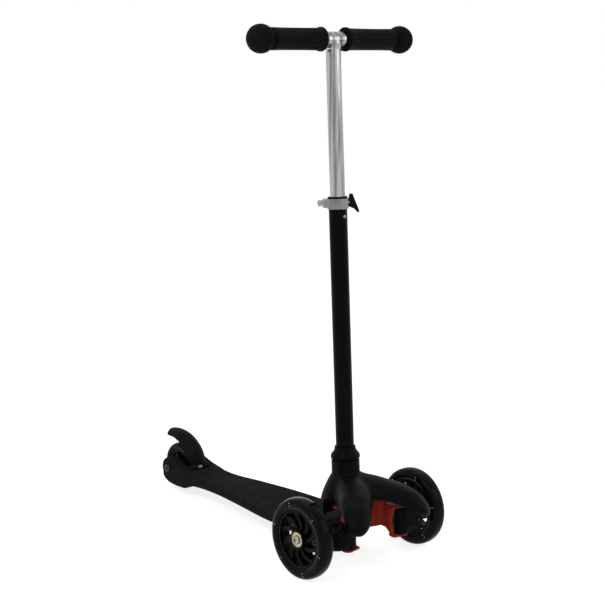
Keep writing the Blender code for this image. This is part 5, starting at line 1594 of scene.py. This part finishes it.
@dataclass
class Deck:
    """The foot board with its tread, fork ears for the rear wheel and ribs below."""

    plate_thick: float = 3.7
    wall: float = 3.0
    fork_inner: float = 15.5
    fork_outer: float = 34.0
    slot_y: float = 415.0
    axle_y: float = 458.5
    axle_z: float = 40.0
    brake_pin: Flat = (411.0, 46.0)
    # Station, half width, top and bottom of the sections
    sections: tuple[tuple[float, ...], ...] = (
        (44, 43, 46, 33), (62, 48.5, 46, 33), (85, 54, 46, 33), (115, 57, 46, 33),
        (165, 56, 46, 33), (222, 50, 46, 33), (290, 42, 44.5, 32), (345, 36.5, 42, 29),
        (385, 34.5, 43, 25), (418, 34, 46, 19),
    )

    def build(self) -> None:
        """Builds the board and its tread."""
        rows = flowing(self.sections, 6)
        body = skin("foot_board", [self.ring(row) for row in rows])
        ear = [
            (385, 42), (385, 27), (399, 19), (411, 14.5), (434, 13.2), (447, 13.6), (458.5, 15),
            (468, 18.5), (473.8, 23.5),
        ]
        ear += arc((self.axle_y, self.axle_z), 18, -25, 100, 16) + [(437, 52), (420, 47.5)]
        for side in Side:
            low, high = sorted((side.value * self.fork_inner, side.value * (self.fork_outer - 0.2)))
            fork = upright("fork", ear, low, high)
            round_edges(fork, 2.2, 4, 50)
            work(body, fork, Join.ADD)
        inner = self.fork_inner
        work(body, block("wheel_slot", (-inner, self.slot_y, 0), (inner, 540, 100)), Join.CUT)
        hollow = [(39, *self.sections[0][1:])] + [tuple(row) for row in rows[:-6]]
        inside = [self.ring((y, half, top, low - 30), True) for y, half, top, low in hollow]
        work(body, skin("underside", inside), Join.CUT)
        for y in (150, 205, 260, 315):
            half, top = self.size_at(y)
            rib = block("rib", (2 - half, y, 35), (half - 2, y + 3, top - 2.7))
            work(body, rib, Join.ADD)
        self.brake_seat(body)
        drill(body, 4.3, -60, 60, move((0, self.axle_y, self.axle_z)) @ turn(90, "Y"), 48)
        for y in (60, 86):
            for x in (-18, 18):
                drill(body, 2.3, 33, 44.6, move((x, y, 0)), 24)
        self.grooves(body)
        present(body, at(0, 0, 0), DECK, "deck_board", angle=30)
        self.dress_tread(body)

    def ring(self, row: Sequence[float], inner: bool = False) -> list[Point]:
        """A cross-section: upright sides, round shoulders and a slightly crowned top."""
        y, half, top, low = row
        corner, crown = 5.0, 0.8
        side = half - (self.wall if inner else 0)
        roof = top - (self.plate_thick if inner else crown)
        right = [(side - 1, low), (side, low + 2)]
        right += arc((side - corner, roof - corner), corner, 0, 90, 8)
        lift = 0 if inner else crown
        right += [
            (share * (side - corner), roof + lift * (1 - share * share))
            for share in (0.75, 0.5, 0.25)
        ]
        left = [(-x, z) for x, z in reversed(right)]
        return [(x, y, z) for x, z in [*right, (0, roof + lift), *left]]

    def size_at(self, y: float) -> Flat:
        """The half width and top height at a station."""
        rows = flowing(self.sections, 6)
        nearest = min(rows, key=lambda row: abs(row[0] - y))
        return nearest[1], nearest[2]

    def brake_seat(self, body: bpy.types.Object) -> None:
        """Cuts the pocket for the brake's barrel and adds its pin lugs."""
        y, z = self.brake_pin
        pocket = block("brake_pocket", (-13.3, y - 6.5, z - 6.5), (13.3, self.slot_y + 1, 100))
        work(body, pocket, Join.CUT)
        pin = move((0, y, z)) @ turn(90, "Y")
        for low, high in ((13.3, 21.3), (-21.3, -13.3)):
            work(body, moved(rod("lug", 5.5, low, high, 40), pin), Join.ADD)
        drill(body, 2.8, -19, 19, pin)

    def grooves(self, body: bpy.types.Object) -> None:
        """Presses the curved grip grooves across the board's top."""
        bow = 0.0075
        for apex in (360, 325, 286, 248, 213, 180, 148, 117, 88, 61):
            half = self.size_at(apex)[0] - 4
            rings = []
            for i in range(25):
                x = half * (2 * i / 24 - 1)
                y = apex - bow * (x - 4) ** 2
                top = self.size_at(y)[1] - 0.8 * (x / half) ** 2
                rings.append([(x, y - 0.9, top + 2), (x, y + 0.9, top + 2), (x, y + 0.5, top - 0.7),
                              (x, y - 0.5, top - 0.7)])
            work(body, skin("groove", rings), Join.CUT)

    def dress_tread(self, body: bpy.types.Object) -> None:
        """Gives the board's upward faces the studded tread finish."""
        body.data.materials.append(DECK_TREAD.material())
        for face in body.data.polygons:
            y = (face.center.y - AXLE_Y) / MM
            if face.normal.z > 0.8 and face.center.z > 40 * MM and 48 < y < 395:
                face.material_index = 1


@dataclass
class BrakeFender:
    """The sprung fender that is pressed on the rear wheel, its pin and its torsion spring."""

    pin_y: float = 411.0
    pin_z: float = 46.0
    thick: float = 4.5
    # Place in y and z of the middle line, half width and how far the edges hang
    line: tuple[tuple[float, ...], ...] = (
        (411, 48, 12.4, 1), (411.5, 54, 13.2, 2.5), (414, 66, 15.7, 6), (420.5, 78, 16.5, 8.5),
        (432, 89.5, 16.5, 10), (447, 97, 16.5, 10.5), (463, 100, 16, 9.5), (478, 100, 15.5, 8.5),
        (488, 98.5, 14.5, 8), (493, 97, 11, 6),
    )

    def build(self) -> None:
        """Builds the fender, its pin and its spring."""
        body = skin("fender", self.rings())
        pin = move((0, self.pin_y, self.pin_z)) @ turn(90, "Y")
        barrel = rod("barrel", 5.5, -13, 13, 48)
        round_edges(barrel, 0.5, 2)
        barrel.data.transform(pin)
        work(body, barrel, Join.ADD)
        melt(body, 0.7, 4)
        work(body, block("relief", (-6, self.pin_y - 7.5, self.pin_z - 7.5),
                         (6, self.pin_y + 5.5, self.pin_z + 6.5)), Join.CUT)
        drill(body, 2.8, -30, 30, pin)
        present(body, at(0, 0, 0), FENDER, "brake_fender", angle=40)
        here = at(0, self.pin_y, self.pin_z) @ outward(Side.LEFT)
        axle = dowel("fender_pin", 2.5, 18.5, 0.5)
        present(axle, here, ZINC, "brake_pin")
        self.spring(here)

    def rings(self) -> list[list[Point]]:
        """The fender's sections, square to its middle line."""
        rows = flowing(self.line, 5)
        made = []
        for i, (y, z, half, hang) in enumerate(rows):
            before, after = rows[max(i - 1, 0)], rows[min(i + 1, len(rows) - 1)]
            run = Vector((after[0] - before[0], after[1] - before[1])).normalized()
            ring = []
            steps = 18
            for sign in (1, -1):
                for k in range(steps + 1):
                    across = sign * (2 * k / steps - 1)
                    lift = sign * self.thick / 2 * (1 - 0.35 * across**4) - hang * across * across
                    ring.append((across * half, y - run.y * lift, z + run.x * lift))
            made.append(ring)
        return made

    def spring(self, here: Matrix) -> None:
        """The close coil round the pin, with a leg at each end."""
        wire, turns, steps = 0.7, 4, 16
        radius, pitch = 3.7, 2.0
        half = turns * pitch / 2
        points: list[Point] = [(-radius, 4.2, -half), (-radius, 2.1, -half)]
        points += [
            (
                radius * math.cos(math.pi + math.tau * i / steps),
                radius * math.sin(math.pi + math.tau * i / steps),
                pitch * (i / steps - turns / 2),
            )
            for i in range(steps * turns + 1)
        ]
        points += [(-radius, -2, half), (-radius, -3.9, half)]
        coil = wound("fender_coil", points, wire)
        present(coil, here, ZINC, "brake_spring", angle=60)


# Studio


@dataclass
class Studio:
    """The floor, the lights and the camera."""

    camera_place: Point = (-1.3095, -1.4308, 0.7491)
    yaw: float = -39.93
    pitch: float = 10.4
    focal_px: float = 1353.96
    frame_px: float = 605.0
    sensor: float = 36.0
    aim: Point = (0.0, 0.0, 0.3)
    daylight: float = 0.3
    floor_tone: float = 0.85
    floor_lift: float = 0.8

    def build(self) -> None:
        """Builds the studio round the scooter."""
        self.camera()
        self.world()
        self.floor()
        self.softbox("key", (-1.5, -0.55, 1.45), (1.3, 0.16), 9)
        self.softbox("fill", (0.9, -1.7, 1.2), (1.2, 1.0), 5)
        self.softbox("top", (0.2, 0.5, 2.4), (1.4, 1.4), 6)

    def camera(self) -> None:
        """Puts the camera where the photograph was taken from."""
        bpy.ops.object.select_all(action="DESELECT")
        yaw, pitch = math.radians(self.yaw), math.radians(self.pitch)
        view = Vector((
            -math.sin(yaw) * math.cos(pitch), math.cos(yaw) * math.cos(pitch), -math.sin(pitch)
        ))
        x, y, z = self.camera_place
        bpy.ops.object.camera_add(
            location=(x, y + AXLE_Y, z), rotation=view.to_track_quat("-Z", "Y").to_euler()
        )
        camera = bpy.context.object
        camera.data.sensor_width = self.sensor
        camera.data.lens = self.focal_px / self.frame_px * self.sensor
        bpy.context.scene.camera = camera

    def world(self) -> None:
        """A world that lights softly and shows white to the eye, in metal and through glass."""
        world = bpy.data.worlds.new("studio")
        bpy.context.scene.world = world
        world.use_nodes = True
        tree = world.node_tree
        light = tree.nodes["Background"]
        light.inputs["Color"].default_value = (1, 1, 1, 1)
        light.inputs["Strength"].default_value = self.daylight
        white = tree.nodes.new("ShaderNodeBackground")
        white.inputs["Strength"].default_value = 1.0
        white.inputs["Color"].default_value = (1, 1, 1, 1)
        mix = tree.nodes.new("ShaderNodeMixShader")
        tree.links.new(self.seen(tree), mix.inputs["Fac"])
        tree.links.new(light.outputs["Background"], mix.inputs[1])
        tree.links.new(white.outputs["Background"], mix.inputs[2])
        tree.links.new(mix.outputs["Shader"], tree.nodes["World Output"].inputs["Surface"])

    @staticmethod
    def seen(tree: bpy.types.NodeTree) -> bpy.types.NodeSocket:
        """A socket that is 1 for what the camera sees, directly, mirrored or through glass."""
        path = tree.nodes.new("ShaderNodeLightPath")
        total = path.outputs["Is Camera Ray"]
        for kind in ("Is Glossy Ray", "Is Transmission Ray"):
            either = tree.nodes.new("ShaderNodeMath")
            either.operation = "MAXIMUM"
            tree.links.new(total, either.inputs[0])
            tree.links.new(path.outputs[kind], either.inputs[1])
            total = either.outputs["Value"]
        return total

    def floor(self) -> None:
        """A wide pale floor that keeps the scooter's soft shadow."""
        bpy.ops.object.select_all(action="DESELECT")
        bpy.ops.mesh.primitive_circle_add(vertices=64, radius=6, fill_type="NGON")
        floor = bpy.context.object
        floor.name = "floor"
        paint = bpy.data.materials.new("pale_floor")
        paint.use_nodes = True
        tree = paint.node_tree
        shader = tree.nodes["Principled BSDF"]
        shader.inputs["Base Color"].default_value = (*[self.floor_tone] * 3, 1)
        shader.inputs["Roughness"].default_value = 0.9
        shader.inputs["Specular IOR Level"].default_value = 0.0
        shader.inputs["Emission Color"].default_value = (1, 1, 1, 1)
        lift = tree.nodes.new("ShaderNodeMath")
        lift.operation = "MULTIPLY"
        lift.inputs[1].default_value = self.floor_lift
        tree.links.new(self.seen(tree), lift.inputs[0])
        tree.links.new(lift.outputs["Value"], shader.inputs["Emission Strength"])
        floor.data.materials.append(paint)

    def softbox(self, name: str, place: Point, size: Flat, power: float) -> None:
        """A rectangular lamp that faces the scooter's middle."""
        bpy.ops.object.select_all(action="DESELECT")
        aim = Vector(self.aim) - Vector(place)
        bpy.ops.object.light_add(
            type="AREA", location=place, rotation=aim.to_track_quat("-Z", "Y").to_euler()
        )
        lamp = bpy.context.object
        lamp.name = name
        lamp.data.shape = "RECTANGLE"
        lamp.data.size, lamp.data.size_y = size
        lamp.data.energy = power


@dataclass
class Scooter:
    """The whole scooter, in the order that it is built."""

    parts: list[Callable[[], None]] = field(default_factory=list)

    def __post_init__(self) -> None:
        """Lists the sub-assemblies."""
        for side in Side:
            self.parts += [FrontWheel(side).build, Knuckle(side).build]
        for maker in (RearWheel, SteeringBracket, TieRod, FrontShell, LeanPivot, Stem, Clamp,
                      Handlebar, Deck, BrakeFender):
            self.parts.append(maker().build)

    def build(self) -> None:
        """Builds every sub-assembly."""
        for part in self.parts:
            part()


def main() -> None:
    """Builds the scooter and its studio."""
    logging.basicConfig(level=logging.INFO, format="%(name)s: %(message)s")
    Scooter().build()
    Studio().build()
    bpy.context.scene.view_settings.view_transform = "Standard"


if __name__ == "__main__":
    main()
